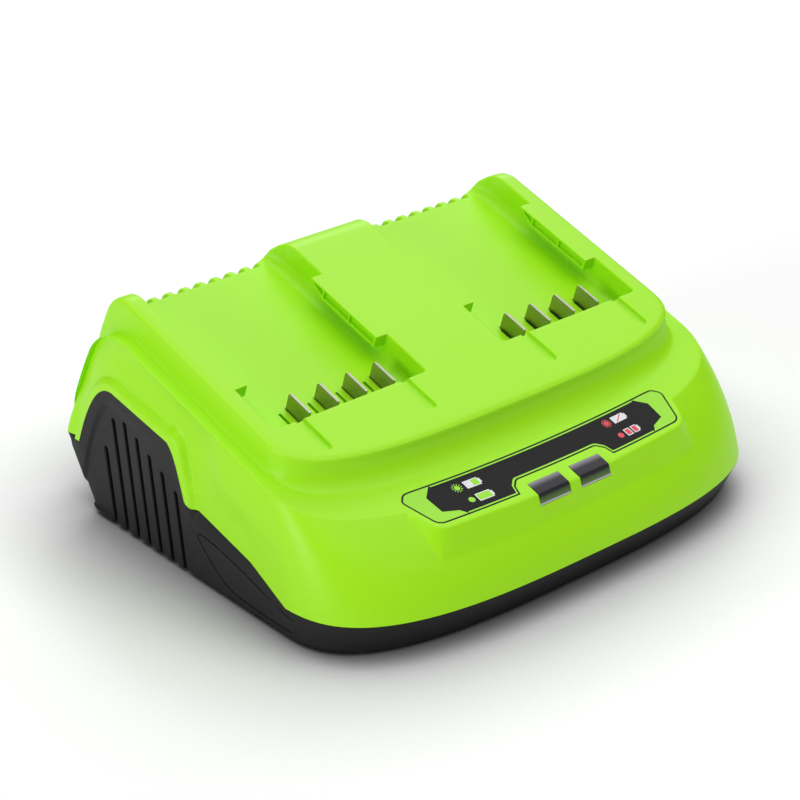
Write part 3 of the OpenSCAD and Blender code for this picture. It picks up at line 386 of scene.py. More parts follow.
# the bezel's lip: stations across the label and how far down the slope it reaches
BEZEL_X = [0, 10, 18.5, 27, 34.4, 42, 47, 52, 56.7, 58.8, 60.6, 62.3, 63.6, 64.7, 65.7, 66.9, 68.2, 70]
BEZEL_S = [-65.2, -65.05, -64.7, -64.2, -63.65, -63.2, -62.85, -62.5, -62.1, -61.8, -61.05, -59.7, -57.9,
           -55.6, -53.1, -50.5, -48.9, -47]
BEZEL_END = 69
PER_SPAN = 3


def cover_outside():
    """Right-half rings of the cover: bulging wall, the bezel's face and shelf, ledge, flared foot, edge.

    Every ring point follows one fixed station round the body; rows are the points of a smooth curve.
    """
    rim = seam_half(SIDE_HALF, BODY_FRONT, BODY_REAR, 0)
    ledge = tier_half(LEDGE_HALF, LEDGE_DROP, LEDGE_ARCH_S, LEDGE_ARCH_R, 0, 1, LEDGE_FRONT, 10)
    foot = tier_half(DECK_HALF + 1.5, LEDGE_DROP, LEDGE_ARCH_S, LEDGE_ARCH_R, 1.2, 3.5, FOOT_FRONT, 4)
    edge = tier_half(DECK_HALF, 2.4, ARCH_S, ARCH_R - 2.4, 1.7, 5.5, DECK_FRONT, 2)
    corner = tier_half(DECK_HALF - 0.3, 0.1, ARCH_S, ARCH_R - 0.1, 2.3, 7.5, DECK_FRONT - 0.3, 2)
    top = tier_half(DECK_HALF - 2.6, 0, ARCH_S, ARCH_R, 2.3, 7.5, DECK_FRONT - 2.6, 2)
    # the bezel: its lip lies on the ledge's plane, its face falls to the wall
    x = ledge[:, 0]
    ledge_s = (ledge[:, 1] - DECK_Y - LEDGE_DROP * SIN_T) / COS_T
    lip_s = np.interp(x, BEZEL_X, BEZEL_S)
    is_front = (np.arange(len(x)) >= len(SIDE_Y)) & (x < BEZEL_END)
    reach = np.where(is_front, np.maximum(0, ledge_s - lip_s), 0)[:, None]
    lip = on_deck(x, ledge_s - reach[:, 0], -LEDGE_DROP)
    shelf = on_deck(x, ledge_s - np.maximum(reach[:, 0] - 2.2, 0) - 0.1, -LEDGE_DROP)
    weight = ease(0, 2.5, reach)
    stop = 1 - 0.5 * np.clip(reach / 10, 0, 1)
    landing = bulging(rim, ledge, stop)
    rows = [bulging(rim, ledge, k / 9 * (stop * weight + 0.72 * (1 - weight))) for k in range(10)]
    for t, share in ((0.3, 0.8), (0.62, 0.86), (0.9, 0.91)):
        rows.append(weight * (landing + t * (lip - landing)) + (1 - weight) * bulging(rim, ledge, share))
    rows.append(weight * lip + (1 - weight) * bulging(rim, ledge, 0.95))
    walls = PER_SPAN * len(rows)
    rows.append(weight * shelf + (1 - weight) * bulging(rim, ledge, 0.985))
    rows += [ledge, ledge + 0.3 * (foot - ledge), ledge + 0.7 * (foot - ledge), foot]
    rows += [*swept_up(foot, edge, (70, 50, 30, 12)), edge, corner, top]
    rows = curve_through(np.stack(rows), PER_SPAN)
    rows[:walls] = drawn_in(rows[:walls])
    return rows


def cover_inside():
    """Right-half rings of the cover's hollow, a wall's thickness in, reaching below the seam."""
    d = WALL
    rim = seam_half(SIDE_HALF - d, BODY_FRONT + d, BODY_REAR - d, 0)
    drop, arch_r = LEDGE_DROP + d, LEDGE_ARCH_R - d
    ledge = tier_half(LEDGE_HALF - d, drop, LEDGE_ARCH_S, arch_r, d, 1, LEDGE_FRONT - d, 10)
    foot = tier_half(DECK_HALF + 1.5 - d, drop, LEDGE_ARCH_S, arch_r, 1.2 + d, 3.5, FOOT_FRONT - d, 4)
    edge = tier_half(DECK_HALF - d, 1.2 + d, ARCH_S, ARCH_R - 1.2 - d, 1.7 + d, 5.5, DECK_FRONT - d, 2)
    top = tier_half(DECK_HALF - 1.2 - d, d, ARCH_S, ARCH_R - d, 2.3 + d, 7.5, DECK_FRONT - 1.2 - d, 2)
    rows = [drawn_in(rim) - [0, 0, 2], drawn_in(rim)]
    rows += [drawn_in(bulging(rim, ledge, t)) for t in (0.07, 0.17, 0.3, 0.5, 0.75)]
    rows += [ledge, foot, *swept_up(foot, edge, (60, 30)), edge, top]
    return np.stack(rows)[:, ::2]


def arch_top(s):
    """Height of the deck's own surface above its plane: flat, then falling round the rear arch."""
    return np.where(s < ARCH_S, 0, -ARCH_R + np.sqrt(np.maximum(0.1, ARCH_R ** 2 - (s - ARCH_S) ** 2)))


TOOL_TOP = 30.0


def bay_cutter(x_mid, grow=0.0):
    """Tool that leaves a bay: floor, fillets, walls and rounded upper edges, open to the rear.

    Rings are offsets of one path (side wall, front corner, front wall) carried at the heights of the
    wall's profile; the fillet shrinks towards the front wall. At the mouth the walls' feet lean in and
    the floor rolls over a round edge into the rear wall.
    """
    roll_s = MOUTH_ROLL + MOUTH_R * np.sin(np.radians(np.linspace(MOUTH_TURN, 0, 12)))
    s_side = np.concatenate([[150, 120, 97], roll_s, np.arange(89, 79, -1.0), np.arange(78, 9, -8.0),
                             [7, 4.5, 3]])
    corner_r = 1.6
    beta = np.radians(np.linspace(0, 90, 6))
    front_x = np.linspace(BAY_HALF - corner_r, 0.5, 6)[1:]
    x = np.concatenate([np.full(len(s_side), BAY_HALF), BAY_HALF - corner_r + corner_r * np.cos(beta),
                        front_x])
    s = np.concatenate([s_side, corner_r - corner_r * np.sin(beta), np.zeros(len(front_x))])
    nx = np.concatenate([np.ones(len(s_side)), np.cos(beta), np.zeros(len(front_x))])
    ns = np.concatenate([np.zeros(len(s_side)), -np.sin(beta), -np.ones(len(front_x))])
    fillet = 1.0 + 4.0 * np.clip((s - corner_r) / 9, 0, 1)
    lip = 0.8
    top = np.maximum(arch_top(s), -BAY_DEPTH + fillet + lip + 0.2)
    levels = [(-fillet + fillet * math.cos(a), -BAY_DEPTH + fillet - fillet * math.sin(a))
              for a in np.radians(np.linspace(90, 0, 6))]
    if grow:
        levels.append((0, TOOL_TOP))
    else:
        levels += [(lip - lip * math.sin(a), top - lip + lip * math.cos(a))
                   for a in np.radians([90, 70, 50, 32, 16, 4])]
        levels += [(lip + 0.12, top + 0.03), (lip + 0.12, TOOL_TOP)]
    within = np.clip(s - MOUTH_ROLL, 0, MOUTH_R * math.sin(math.radians(MOUTH_TURN)))
    drop = MOUTH_R - np.sqrt(MOUTH_R ** 2 - within ** 2)
    halves = []
    for out, h in levels:
        out = out + grow
        h = h - np.where(h == TOOL_TOP, 0, grow)
        if not grow:
            out = out - MOUTH_LEAN * np.clip(s - MOUTH_S, 0, 10) * np.clip(-h / 7, 0, 1) * nx
            h = np.where(h < 5, h - drop * np.clip(-h / 6, 0, 1), h)
        halves.append(np.stack([x + nx * out, s + ns * out, h * np.ones(len(s))], -1))
    return placed_on_deck(lofted("bay", halves), x_mid)


def placed_on_deck(ob, x_mid):
    """Moves a mesh from deck positions to frame positions."""
    x, s, h = points_of(ob).T
    ob.data.vertices.foreach_set("co", (on_deck(x + x_mid, s, h) * MM).ravel())
    ob.data.update()
    return ob


def groove_cutter(x_mid):
    """Tool for a guide groove: a round-ended trough with soft edges, open into the bay."""
    w, lip, bottom = GROOVE_HALF, 0.5, 1.1
    beta = np.radians(np.linspace(0, 84, 8))
    x = np.concatenate([[w, w, w], w * np.cos(beta)])
    s = np.concatenate([[2.0, -3, -9], -GROOVE_LEN + w - w * np.sin(beta)])
    nx = np.concatenate([[1, 1, 1], np.cos(beta)])
    ns = np.concatenate([[0, 0, 0], -np.sin(beta)])
    levels = [(-bottom * (1 - math.cos(p)), -GROOVE_DEPTH + bottom * (1 - math.sin(p)))
              for p in np.radians([90, 65, 40, 18, 0])]
    levels += [(lip - lip * math.sin(p), -lip + lip * math.cos(p)) for p in np.radians([90, 62, 36, 12])]
    levels += [(lip + 0.1, 0.03), (lip + 0.1, 6.0)]
    halves = [np.stack([x + nx * o, s + ns * o, np.full(len(x), h)], -1) for o, h in levels]
    return placed_on_deck(lofted("groove", halves), x_mid)


def block(x0, s0, x1, s1):
    """Rectangle between two deck positions."""
    return np.array([[x0, s0], [x1, s0], [x1, s1], [x0, s1]], float)


def louvre_tool(x):
    """Round-ended slot square to the rear wall, at the rear edge of a bay's floor."""
    start = on_deck(0, ARCH_S + 12, -BAY_DEPTH)
    c, k = math.cos(REAR_SLOPE), math.sin(REAR_SLOPE)

    def on_rear(u, v, w):
        return plain(x + u, start[1] + v * c + w * k, start[2] - v * k + w * c)
    outline = rounded([[-1.5, -0.6, 0], [1.5, -0.6, 0], [1.5, 18, 1.45], [-1.5, 18, 1.45]], 6)
    return prism("louvre", outline, -7, 7, on_rear)


# half section of the groove at a louvre's mouth: distance from its middle, depth
SCALLOP = ((3.5, -0.9), (2.75, -0.02), (2.3, 0.22), (1.9, 0.62), (1.62, 1.2), (1.5, 2.2))


def scallop_tool(x):
    """Round-shouldered groove along a louvre's mouth: its section carried round the floor's rear edge."""
    turn = np.radians(np.linspace(0, MOUTH_TURN, 12))
    s = np.concatenate([[MOUTH_ROLL - 0.35], MOUTH_ROLL + MOUTH_R * np.sin(turn)])
    h = np.concatenate([[-BAY_DEPTH], -BAY_DEPTH - MOUTH_R + MOUTH_R * np.cos(turn)])
    turn = np.concatenate([[0], turn])
    down = 11.5
    s = np.concatenate([s, [s[-1] + down * math.cos(turn[-1]) + 0.5]])
    h = np.concatenate([h, [h[-1] - down * math.sin(turn[-1])]])
    turn = np.concatenate([turn, turn[-1:]])
    section = [(-u, depth) for u, depth in SCALLOP] + list(SCALLOP[::-1])
    runs = [on_deck(x + u, s - depth * np.sin(turn), h - depth * np.cos(turn)) for u, depth in section]
    return capped("scallop", np.stack(runs, 1))


LABEL_BOW, BOW_HALF = 2.16, 60


def bowed(outline):
    """Label points moved forward by the label's bow, which is full in the middle and ends BOW_HALF out."""
    out = np.array(outline, float)
    out[:, 1] -= LABEL_BOW * np.maximum(0, 1 - (out[:, 0] / BOW_HALF) ** 2)
    return out


def dense(outline, step):
    """Outline with points added so that no side is longer than step."""
    out = []
    for p, q in zip(outline, np.roll(outline, -1, 0)):
        n = max(1, math.ceil(np.linalg.norm(q - p) / step))
        out.append(p + (q - p) * (np.arange(n) / n)[:, None])
    return np.concatenate(out)


def shrunk(outline, d):
    """Anticlockwise outline moved inwards by d, square to its sides."""
    a = outline - np.roll(outline, 1, 0)
    b = np.roll(outline, -1, 0) - outline
    a, b = (v / np.linalg.norm(v, axis=1)[:, None] for v in (a, b))
    n = np.stack([-(a + b)[:, 1], (a + b)[:, 0]], -1)
    n /= np.maximum(1, np.einsum("ij,ij->i", a, b)[:, None] + 1)
    return outline + d * n


def both_sides(half):
    """Symmetric outline from its right half, given from the bottom to the top with corner radii."""
    return [[-u, v, r] for u, v, r in half[::-1]] + [list(p) for p in half]


def inset(corners, d):
    """Corners of an anticlockwise outline moved inwards by d, their radii fitted to it."""
    p, r = np.array([c[:2] for c in corners], float), np.array([c[2] for c in corners])
    a, b = p - np.roll(p, 1, 0), np.roll(p, -1, 0) - p
    turn = np.sign(a[:, 0] * b[:, 1] - a[:, 1] * b[:, 0])
    return dense(rounded([[*q, max(0.05, k)] for q, k in zip(shrunk(p, d), r - turn * d)], 6), 2.5)


LABEL_CORNERS = both_sides([[19.8, -53.0, 2.4], [22.5, -55.6, 0.6], [23.6, -59.6, 0.25],
                            [60.9, -59.6, 4.2], [66.2, -44.2, 2.6], [62.9, -40.94, 3.4]])
LABEL_MIDDLE = dense(rounded(both_sides([
    [20.6, -51.6, 3.2], [23.6, -54.6, 0.6], [24.6, -58.25, 0.2], [46.9, -58.25, 0], [47.2, -59.0, 0],
    [49.35, -56.35, 0], [55.55, -54.44, 0], [56.25, -46.34, 0], [51.6, -41.6, 0], [51.0, -42.3, 0]]), 6), 2.5)
LENS_X = (2.75, 17.75)
LENS_GAP = 0.15


def lens_profile(gap):
    """Side outline of a light lens in s and h: a top, a rounded nose and a face down the bezel's front."""
    return rounded([[-58.6 + gap, -9.4 + gap, 0.4], [-65.0 - gap, -9.4 + gap, 1.4],
                    [-67.5 - gap, -13.1 - gap, 0.35], [-65.6, -14.4 - gap, 0.3],
                    [-63.4 + gap, -12.6 - gap, 0.8], [-58.6 + gap, -12.3 - gap, 0.4]], 4)


def across(s, h, x):
    """Frame points of an outline drawn in s and h and carried across."""
    return on_deck(x, s, h)


def rail(side, x_mid):
    """A guide rail on a bay's side wall: chamfered lead-in at the rear, three cores in its inner face."""
    def place(u, v, w):
        return on_deck(x_mid + w, RAIL_START + u, v)
    root = side * BAY_HALF
    edge = root - side * RAIL_REACH
    outline = [[0, 0], [0, -RAIL_T], [RAIL_LEN - 7, -RAIL_T], [RAIL_LEN - 2.2, -2.2], [RAIL_LEN, -0.8],
               [RAIL_LEN, 0]]
    bar = prism("rail", outline, *sorted([root + side, edge]), place)
    deep, split = RAIL_T - 0.9, (RAIL_LEN - 8.4) / 2
    span = sorted([edge - side, edge + side * CORE_DEPTH])
    for shape in ([[1.2, -1], [1.2, -deep], [split, -deep], [split, -1]],
                  [[split + 0.9, -1], [split + 0.9, -deep], [2 * split, -deep], [2 * split, -1]],
                  [[2 * split + 0.9, -1], [2 * split + 0.9, -deep + 0.4], [RAIL_LEN - 1.6, -1]]):
        cut(bar, prism("core", shape, *span, place))
    soften(bar, 0.35, angle=30)
    bake(bar)
    return bar


def cut_floor(cover, half, x, s0, s1):
    """Cuts a narrow slot through a bay's floor round x, from s0 to s1 up the slope."""
    cut(cover, prism("floor_slot", block(x - half, s0, x + half, s1), -17, -10, on_deck))


def cut_bay(cover, x):
    """Cuts a bay round x: its hollow, two guide grooves, the louvres and the slots in its floor."""
    cut(cover, bay_cutter(x))
    for side in (-1, 1):
        cut(cover, groove_cutter(x + side * GROOVE_X))
    for i in range(LOUVRES):
        at = x + (i - 3.5) * LOUVRE_PITCH
        cut(cover, louvre_tool(at))
        cut(cover, scallop_tool(at))
    for i in range(BLADES):
        at = x + (i - 1.5) * BLADE_PITCH
        cut_floor(cover, FLOOR_SLOT_HALF, at + FLOOR_SLOT_OFF, BLADE_S - 1.7, BLADE_S + 11)
        at += BLADE_OFF[1 if x > 0 else -1]
        cut_floor(cover, BLADE_SLOT_HALF, at, BLADE_S - 0.3, BLADE_S + BLADE_LEN + 0.3)


def top_cover():
    """The moulded cover: outer form less its hollow, bays and seats, with its rails."""
    cover = lofted("top_cover_shell", cover_outside())
    hollow = lofted("hollow", cover_inside())
    for x in (-BAY_X, BAY_X):
        cut(hollow, bay_cutter(x, WALL))
    cut(hollow, prism("shelf", block(-66, -62, 66, -39), -LEDGE_DROP - 3.2, -LEDGE_DROP, on_deck))
    cut(cover, hollow)
    for x in (-BAY_X, BAY_X):
        cut_bay(cover, x)
    cut(cover, prism("seat", bowed(inset(LABEL_CORNERS, 0)), -LEDGE_DROP - 0.7, -LEDGE_DROP + 5, on_deck))
    for side in (-1, 1):
        ends = sorted([side * (LENS_X[0] - LENS_GAP), side * (LENS_X[1] + LENS_GAP)])
        cut(cover, prism("seat", lens_profile(0.12), *ends, across))
    for x in (-BAY_X, BAY_X):
        for side in (-1, 1):
            fuse(cover, rail(side, x))
    return cover


# ---- base
def base_rows(d, lift, steps):
    """Right-half rings of the base drawn in by d: rounded lower edge, wall with draft, sloping low shoulder.

    The wall runs straight from the foot to the full-width rim; above the shoulder line the rim is drawn in
    with the cover. On the outer form the panel behind the slots lies a little deeper than its border.
    """
    rim = seam_half(SIDE_HALF - d, BODY_FRONT + d, BODY_REAR - d, lift)
    width = SIDE_HALF - BASE_IN_SIDE - d
    front, rear = BODY_FRONT + BASE_IN_FRONT + d, BODY_REAR - BASE_IN_REAR - d

    def level(inward, z):
        half = seam_half(width - inward, front + inward, rear - inward, 0)
        half[:, 2] = z
        return half
    r, low = (3, FOOT_Z + d) if d else (EDGE_R, SKIRT_Z)
    rows = [level(r - r * math.sin(a), low + r - r * math.cos(a)) for a in np.radians(np.linspace(0, 90, 7))]
    foot = rows[-1]
    for t in np.linspace(0, 1, steps)[1:]:
        row = foot + t * (rim - foot)
        below = rim[:, 2] - row[:, 2]
        row[:, 0] -= side_in(row[:, 1], rim[:, 2]) * (1 - np.clip(below / SHOULDER_H, 0, 1))
        if not d:
            row[:, 0] -= panel_depth(row[:, 1], row[:, 2])
        rows.append(row)
    return rows


def panel_depth(y, z):
    """Depth of the slotted panel inside its arched border: a soft step that fades out towards the front."""
    below = -over_line(high_line, y, z)
    return PANEL_DEPTH * ease(*PANEL_EDGE, below) * ease(*PANEL_FADE, y) * (1 - ease(*PANEL_END, y))


def side_x(y, z):
    """Half width of the base's outer wall at a point of its side."""
    top = seam_height(y) - SEAM
    foot = SKIRT_Z + EDGE_R
    full = SIDE_HALF - BASE_IN_SIDE * (1 - np.clip((z - foot) / (top - foot), 0, 1))
    return full - panel_depth(y, z)


def slot_tool(side, y, top):
    """Leaning round-topped slot through a side wall, open at the bottom, its mouth widened by a chamfer."""
    a = np.radians(np.linspace(0, 180, 13))
    rings = []
    for half, out in ((VENT_HALF, -9.0), (VENT_HALF, -0.3), (1.4, 0.0), (2.4, 1.0)):
        v = np.concatenate([[0.5], top + half * np.sin(a), [0.5]])
        u = np.concatenate([[half], half * np.cos(a), [-half]]) + VENT_LEAN * (v - 20)
        rings.append(np.stack([side * (side_x(y + u, v) + out), y + u, v], -1))
    return capped("slot", rings)


# corners of the outline engraved in the side, counted in y and z from the deck's own point
SIDE_OUTLINE = [(22.9, -45.6), (13.1, -47.0), (-1.6, -50.2), (-13.9, -53.9), (-24.0, -56.8), (-34.0, -58.9),
                (-39.2, -61.6), (-33.6, -63.9), (-20.7, -64.6), (-4.9, -64.4), (8.3, -63.3), (17.9, -55.9),
                (25.4, -47.9)]


def closed_curve(points, per_span):
    """Closed quadratic B-spline round a polygon's corners, evenly stepped in each span."""
    p = np.asarray(points, float)
    mids = (p + np.roll(p, -1, 0)) / 2
    t = np.linspace(0, 1, per_span, endpoint=False)[:, None]
    return np.concatenate([bent(mids[k - 1], p[k], mids[k], t) for k in range(len(p))])


def groove_ring(side):
    """Tool for the engraved outline: a closed band that follows the wall, half sunk in it."""
    path = closed_curve(np.asarray(SIDE_OUTLINE) + [DECK_Y, DECK_Z], 8)
    along = np.roll(path, -1, 0) - np.roll(path, 1, 0)
    across_path = np.stack([along[:, 1], -along[:, 0]], -1) / np.linalg.norm(along, axis=1)[:, None]
    rings = []
    for offset, out in ((-0.28, -0.45), (0.28, -0.45), (0.5, 0.6), (-0.5, 0.6)):
        p = path + across_path * offset
        rings.append(np.stack([side * (side_x(p[:, 0], p[:, 1]) + out), p[:, 0], p[:, 1]], -1))
    n = len(path)
    faces = ring_faces(len(rings) + 1, n) % (len(rings) * n)
    return outward(make_mesh("groove_ring", rings, faces))


def cut_keyhole(base, x):
    """Cuts a keyhole through the floor: a round entry and a round-ended neck behind it."""
    cut(base, tube("entry", (x, KEYHOLE_Y), [(KEYHOLE_R, 2.0), (KEYHOLE_R, 7.0)], 40))
    left, right = x - NECK_HALF, x + NECK_HALF
    neck = rounded([[left, KEYHOLE_Y, 0], [right, KEYHOLE_Y, 0], [right, NECK_END, NECK_R],
                    [left, NECK_END, NECK_R]], 8)
    cut(base, prism("neck", neck, 2.0, 7.0, plain))


def base_shell():
    """The black base: outer form less its hollow, foot seats, screw wells, gland seat, keyholes and slots."""
    base = lofted("base_shell", np.stack(base_rows(0, -SEAM, 44)))
    cut(base, lofted("hollow", np.stack(base_rows(WALL, 1.0, 12))[:, ::2]))
    under = base_rows(SKIRT_T, 0, 2)[0] * [1, 1, 0]
    cut(base, lofted("recess", np.stack([under, under + [0, 0, FOOT_Z]])[:, ::2]))
    for at in SCREWS:
        fuse(base, tube("boss", at, [(4.6, FOOT_Z + 0.4), (4.6, 10.5)]))
        cut(base, tube("well", at, [(3.7, 2.0), (3.4, FOOT_Z + 0.3), (3.4, 7.5)]))
    for at in FEET:
        cut(base, tube("seat", at, [(8.15, 2.0), (8.15, 4.0)], 48))
    fuse(base, rear_tube("gland_boss", [(9.5, -16.5), (9.5, -3.4)]))
    cut(base, rear_tube("gland_bore", [(6.65, -17.5), (6.65, -2.0)]))
    cut(base, rear_tube("gland_face", [(8.8, -3.4), (8.8, 4)]))
    for side in (-1, 1):
        cut_keyhole(base, side * KEYHOLE_X)
        cut(base, groove_ring(side))
        for i, top in enumerate(VENT_TOPS):
            cut(base, slot_tool(side, VENT_Y + VENT_PITCH * i, top))
    return base


def plain(u, v, w):
    """Frame points straight from x, y and z."""
    return np.stack(np.broadcast_arrays(u, v, w), -1)


def turned(name, profile, place, count):
    """Solid of revolution: a profile of (radius, height) carried round and set by place(u, v, height)."""
    a = np.linspace(0, 2 * math.pi, count, endpoint=False)
    return capped(name, [place(r * np.cos(a), r * np.sin(a), h) for r, h in profile])


def tube(name, at, profile, count=32):
    """Turned solid standing at a point of the ground plane."""
    return turned(name, profile, lambda u, v, h: plain(at[0] + u, at[1] + v, h), count)


def rear_tube(name, profile):
    """Turned solid on the gland's axis; heights run backwards from the body's rear."""
    return turned(name, profile, lambda u, v, h: plain(GLAND_X + u, BODY_REAR + h, GLAND_Z + v), 40)


# ---- finishes
def finish(name, base, rough, metallic=0.0, spec=0.5):
    """A principled material and its node tree, socket values set directly."""
    mat = bpy.data.materials.new(name)
    mat.use_nodes = True
    shader = mat.node_tree.nodes["Principled BSDF"]
    shader.inputs["Base Color"].default_value = (*base, 1)
    shader.inputs["Roughness"].default_value = rough
    shader.inputs["Metallic"].default_value = metallic
    shader.inputs["Specular IOR Level"].default_value = spec
    return mat, mat.node_tree, shader


def map_range(tree, value, span, to=(0, 1)):
    """Output that runs evenly over to while value runs over span."""
    node = tree.nodes.new("ShaderNodeMapRange")
    for key, end in zip(("From Min", "From Max", "To Min", "To Max"), (*span, *to)):
        node.inputs[key].default_value = end
    tree.links.new(value, node.inputs["Value"])
    return node.outputs["Result"]


def object_noise(tree, scale, detail=2.0, stretch=None):
    """Noise in a piece's own space, with a scale for each axis where stretch is given."""
    noise = tree.nodes.new("ShaderNodeTexNoise")
    noise.inputs["Scale"].default_value, noise.inputs["Detail"].default_value = scale, detail
    place = tree.nodes.new("ShaderNodeTexCoord").outputs["Object"]
    if stretch:
        spread = tree.nodes.new("ShaderNodeMapping")
        spread.inputs["Scale"].default_value = stretch
        tree.links.new(place, spread.inputs["Vector"])
        place = spread.outputs["Vector"]
    tree.links.new(place, noise.inputs["Vector"])
    return noise.outputs["Fac"]


def grain(tree, shader, noise, strength, distance=0.0002, rough=None):
    """Fine surface grain: a noise drives the bump and, over a range, the roughness."""
    bump = tree.nodes.new("ShaderNodeBump")
    bump.inputs["Strength"].default_value, bump.inputs["Distance"].default_value = strength, distance
    tree.links.new(noise, bump.inputs["Height"])
    tree.links.new(bump.outputs["Normal"], shader.inputs["Normal"])
    if rough:
        tree.links.new(map_range(tree, noise, (0, 1), rough), shader.inputs["Roughness"])


def blended(tree, shader, factor, low, high):
    """Base colour from low to high as factor rises; an end is a colour or a node's output."""
    mix = tree.nodes.new("ShaderNodeMix")
    mix.data_type = "RGBA"
    tree.links.new(factor, mix.inputs["Factor"])
    for key, end in (("A", low), ("B", high)):
        if isinstance(end, bpy.types.NodeSocket):
            tree.links.new(end, mix.inputs[key])
        else:
            mix.inputs[key].default_value = (*end, 1)
    tree.links.new(mix.outputs["Result"], shader.inputs["Base Color"])


def drifting(tree, shader, base, scale, low, high):
    """Slow drift of the base colour between its low and high multiples."""
    blended(tree, shader, object_noise(tree, scale), *([min(1, c * k) for c in base] for k in (low, high)))


def linear(r, g, b):
    """Linear colour from 8-bit sRGB numbers."""
    v = np.array([r, g, b]) / 255
    return tuple(np.where(v < 0.04045, v / 12.92, ((v + 0.055) / 1.055) ** 2.4).tolist())


def plastic(name, colour, rough, scale=900, strength=0.12, drift=0.04, spec=0.5):
    """Moulded plastic with a fine spark-eroded grain and a slight drift of colour."""
    base = linear(*colour)
    mat, tree, shader = finish(name, base, rough, spec=spec)
    grain(tree, shader, object_noise(tree, scale, 3.0), strength, rough=(rough - 0.04, rough + 0.05))
    drifting(tree, shader, base, 14, 1 - drift, 1 + drift)
    return mat


def metal(name, colour, rough, stretch, strength=0.1):
    """Brushed or drawn metal: its grain is stretched along one direction."""
    base = linear(*colour)
    mat, tree, shader = finish(name, base, rough, metallic=1.0)
    noise = object_noise(tree, 1.0, 3.0, stretch)
    grain(tree, shader, noise, strength, 0.00005, (rough - 0.06, rough + 0.1))
    drifting(tree, shader, base, 60, 0.94, 1.05)
    return mat


LIME = plastic("lime_plastic", (164, 236, 14), 0.42, scale=1100, strength=0.06, drift=0.015, spec=0.34)
BLACK = plastic("black_plastic", (31, 31, 32), 0.55, scale=1000, strength=0.2, drift=0.08, spec=0.22)
NICKEL = metal("nickel_plate", (164, 160, 152), 0.38, (200, 200, 1600), 0.04)

piece(top_cover(), LIME, "cover", "top_cover")
piece(base_shell(), BLACK, "housing", "base_housing")


# ---- label and lenses
def sheet(name, outline, low, high):
    """Thin layer of the label between two heights above the ledge, its faces cut into triangles."""
    ob = prism(name, outline, low - LEDGE_DROP, high - LEDGE_DROP, on_deck)
    bm = bmesh.new()
    bm.from_mesh(ob.data)
    bmesh.ops.triangulate(bm, faces=bm.faces[:], ngon_method="EAR_CLIP")
    bm.to_mesh(ob.data)
    bm.free()
    return ob


def spot(at, r):
    """Round outline at a label point."""
    a = np.linspace(0, 2 * math.pi, 20, endpoint=False)
    return np.stack([at[0] + r * np.cos(a), at[1] + r * np.sin(a)], -1)


def sparks(at, inner, outer, rays, width):
    """Short bars that stand round a point."""
    out = []
    for k in range(rays):
        a = 2 * math.pi * k / rays
        along = np.array([math.cos(a), math.sin(a)])
        side = np.array([-math.sin(a), math.cos(a)]) * width / 2
        ends = along * inner - side, along * outer - side, along * outer + side, along * inner + side
        out.append(np.array(at) + np.stack(ends))
    return out


def battery(x0, s0, x1, s1, step):
    """A battery sign: its body, and at its right end the terminal, narrower by a step at either side."""
    return [block(x0, s0, x1, s1), block(x1, s0 + step, x1 + 0.7, s1 - step)]


def marks(name, outlines, material, high=0.024):
    """One piece from flat signs printed on the label; each follows the label's bow."""
    parts = [sheet("mark", bowed(o), -0.012, high) for o in outlines]
    piece(joined(name, parts), material, "label")


def light_lens(side):
    """A smoked lens: its side profile carried across, edges softened."""
    ob = prism("light_lens", lens_profile(0), *sorted(side * x for x in LENS_X), across)
    soften(ob, 0.35, 3, 30)
    bake(ob)
    return ob


LABEL_BLACK = plastic("label_black", (24, 23, 25), 0.3, scale=1500, strength=0.03, spec=0.1)
LABEL_GREEN = plastic("label_green", (154, 226, 36), 0.35, scale=1500, strength=0.03, drift=0.015, spec=0.4)
LABEL_WHITE = plastic("label_white", (226, 226, 232), 0.35, scale=1500, strength=0.03, drift=0.02)
LABEL_RED = plastic("label_red", (226, 58, 70), 0.35, scale=1500, strength=0.03, drift=0.02)
SHEET, FIELD = bowed(inset(LABEL_CORNERS, 0.08)), bowed(inset(LABEL_CORNERS, 0.72))
piece(sheet("label_sheet", SHEET, -0.66, -0.03), LABEL_BLACK, "label", "label_plate")
piece(sheet("label_field", FIELD, -0.5, -0.012), LABEL_GREEN, "label")
piece(sheet("label_middle", bowed(LABEL_MIDDLE), -0.4, 0.006), LABEL_BLACK, "label")

LIT_LEFT, LIT_RIGHT = (-42.7, -46.8), (32.9, -46.1)
marks("label_signs_green", [
    spot(LIT_LEFT, 1.15), *sparks(LIT_LEFT, 1.4, 2.2, 12, 0.32), block(-35.9, -48.4, -33.0, -45.4),
    spot((-41.7, -53.9), 1.3), block(-38.8, -55.5, -33.0, -52.5)], LABEL_GREEN)
marks("label_signs_white", [
    *battery(-39.2, -48.8, -32.6, -45.0, 0.8), *battery(-39.2, -55.9, -32.6, -52.1, 0.8),
    *battery(36.1, -47.9, 42.7, -44.4, 0.7), block(36.1, -55.5, 39.0, -51.9),
    *battery(39.8, -55.5, 42.7, -51.9, 0.7)], LABEL_WHITE, high=0.014)
marks("label_signs_red", [
    spot(LIT_RIGHT, 1.15), *sparks(LIT_RIGHT, 1.35, 2.1, 12, 0.4),
    np.array([[37.2, -47.6], [37.9, -47.6], [41.7, -44.7], [41.0, -44.7]]), spot((33.5, -53.7), 1.3),
    block(36.5, -55.1, 38.6, -52.3), block(40.2, -55.1, 42.3, -52.3)], LABEL_RED)

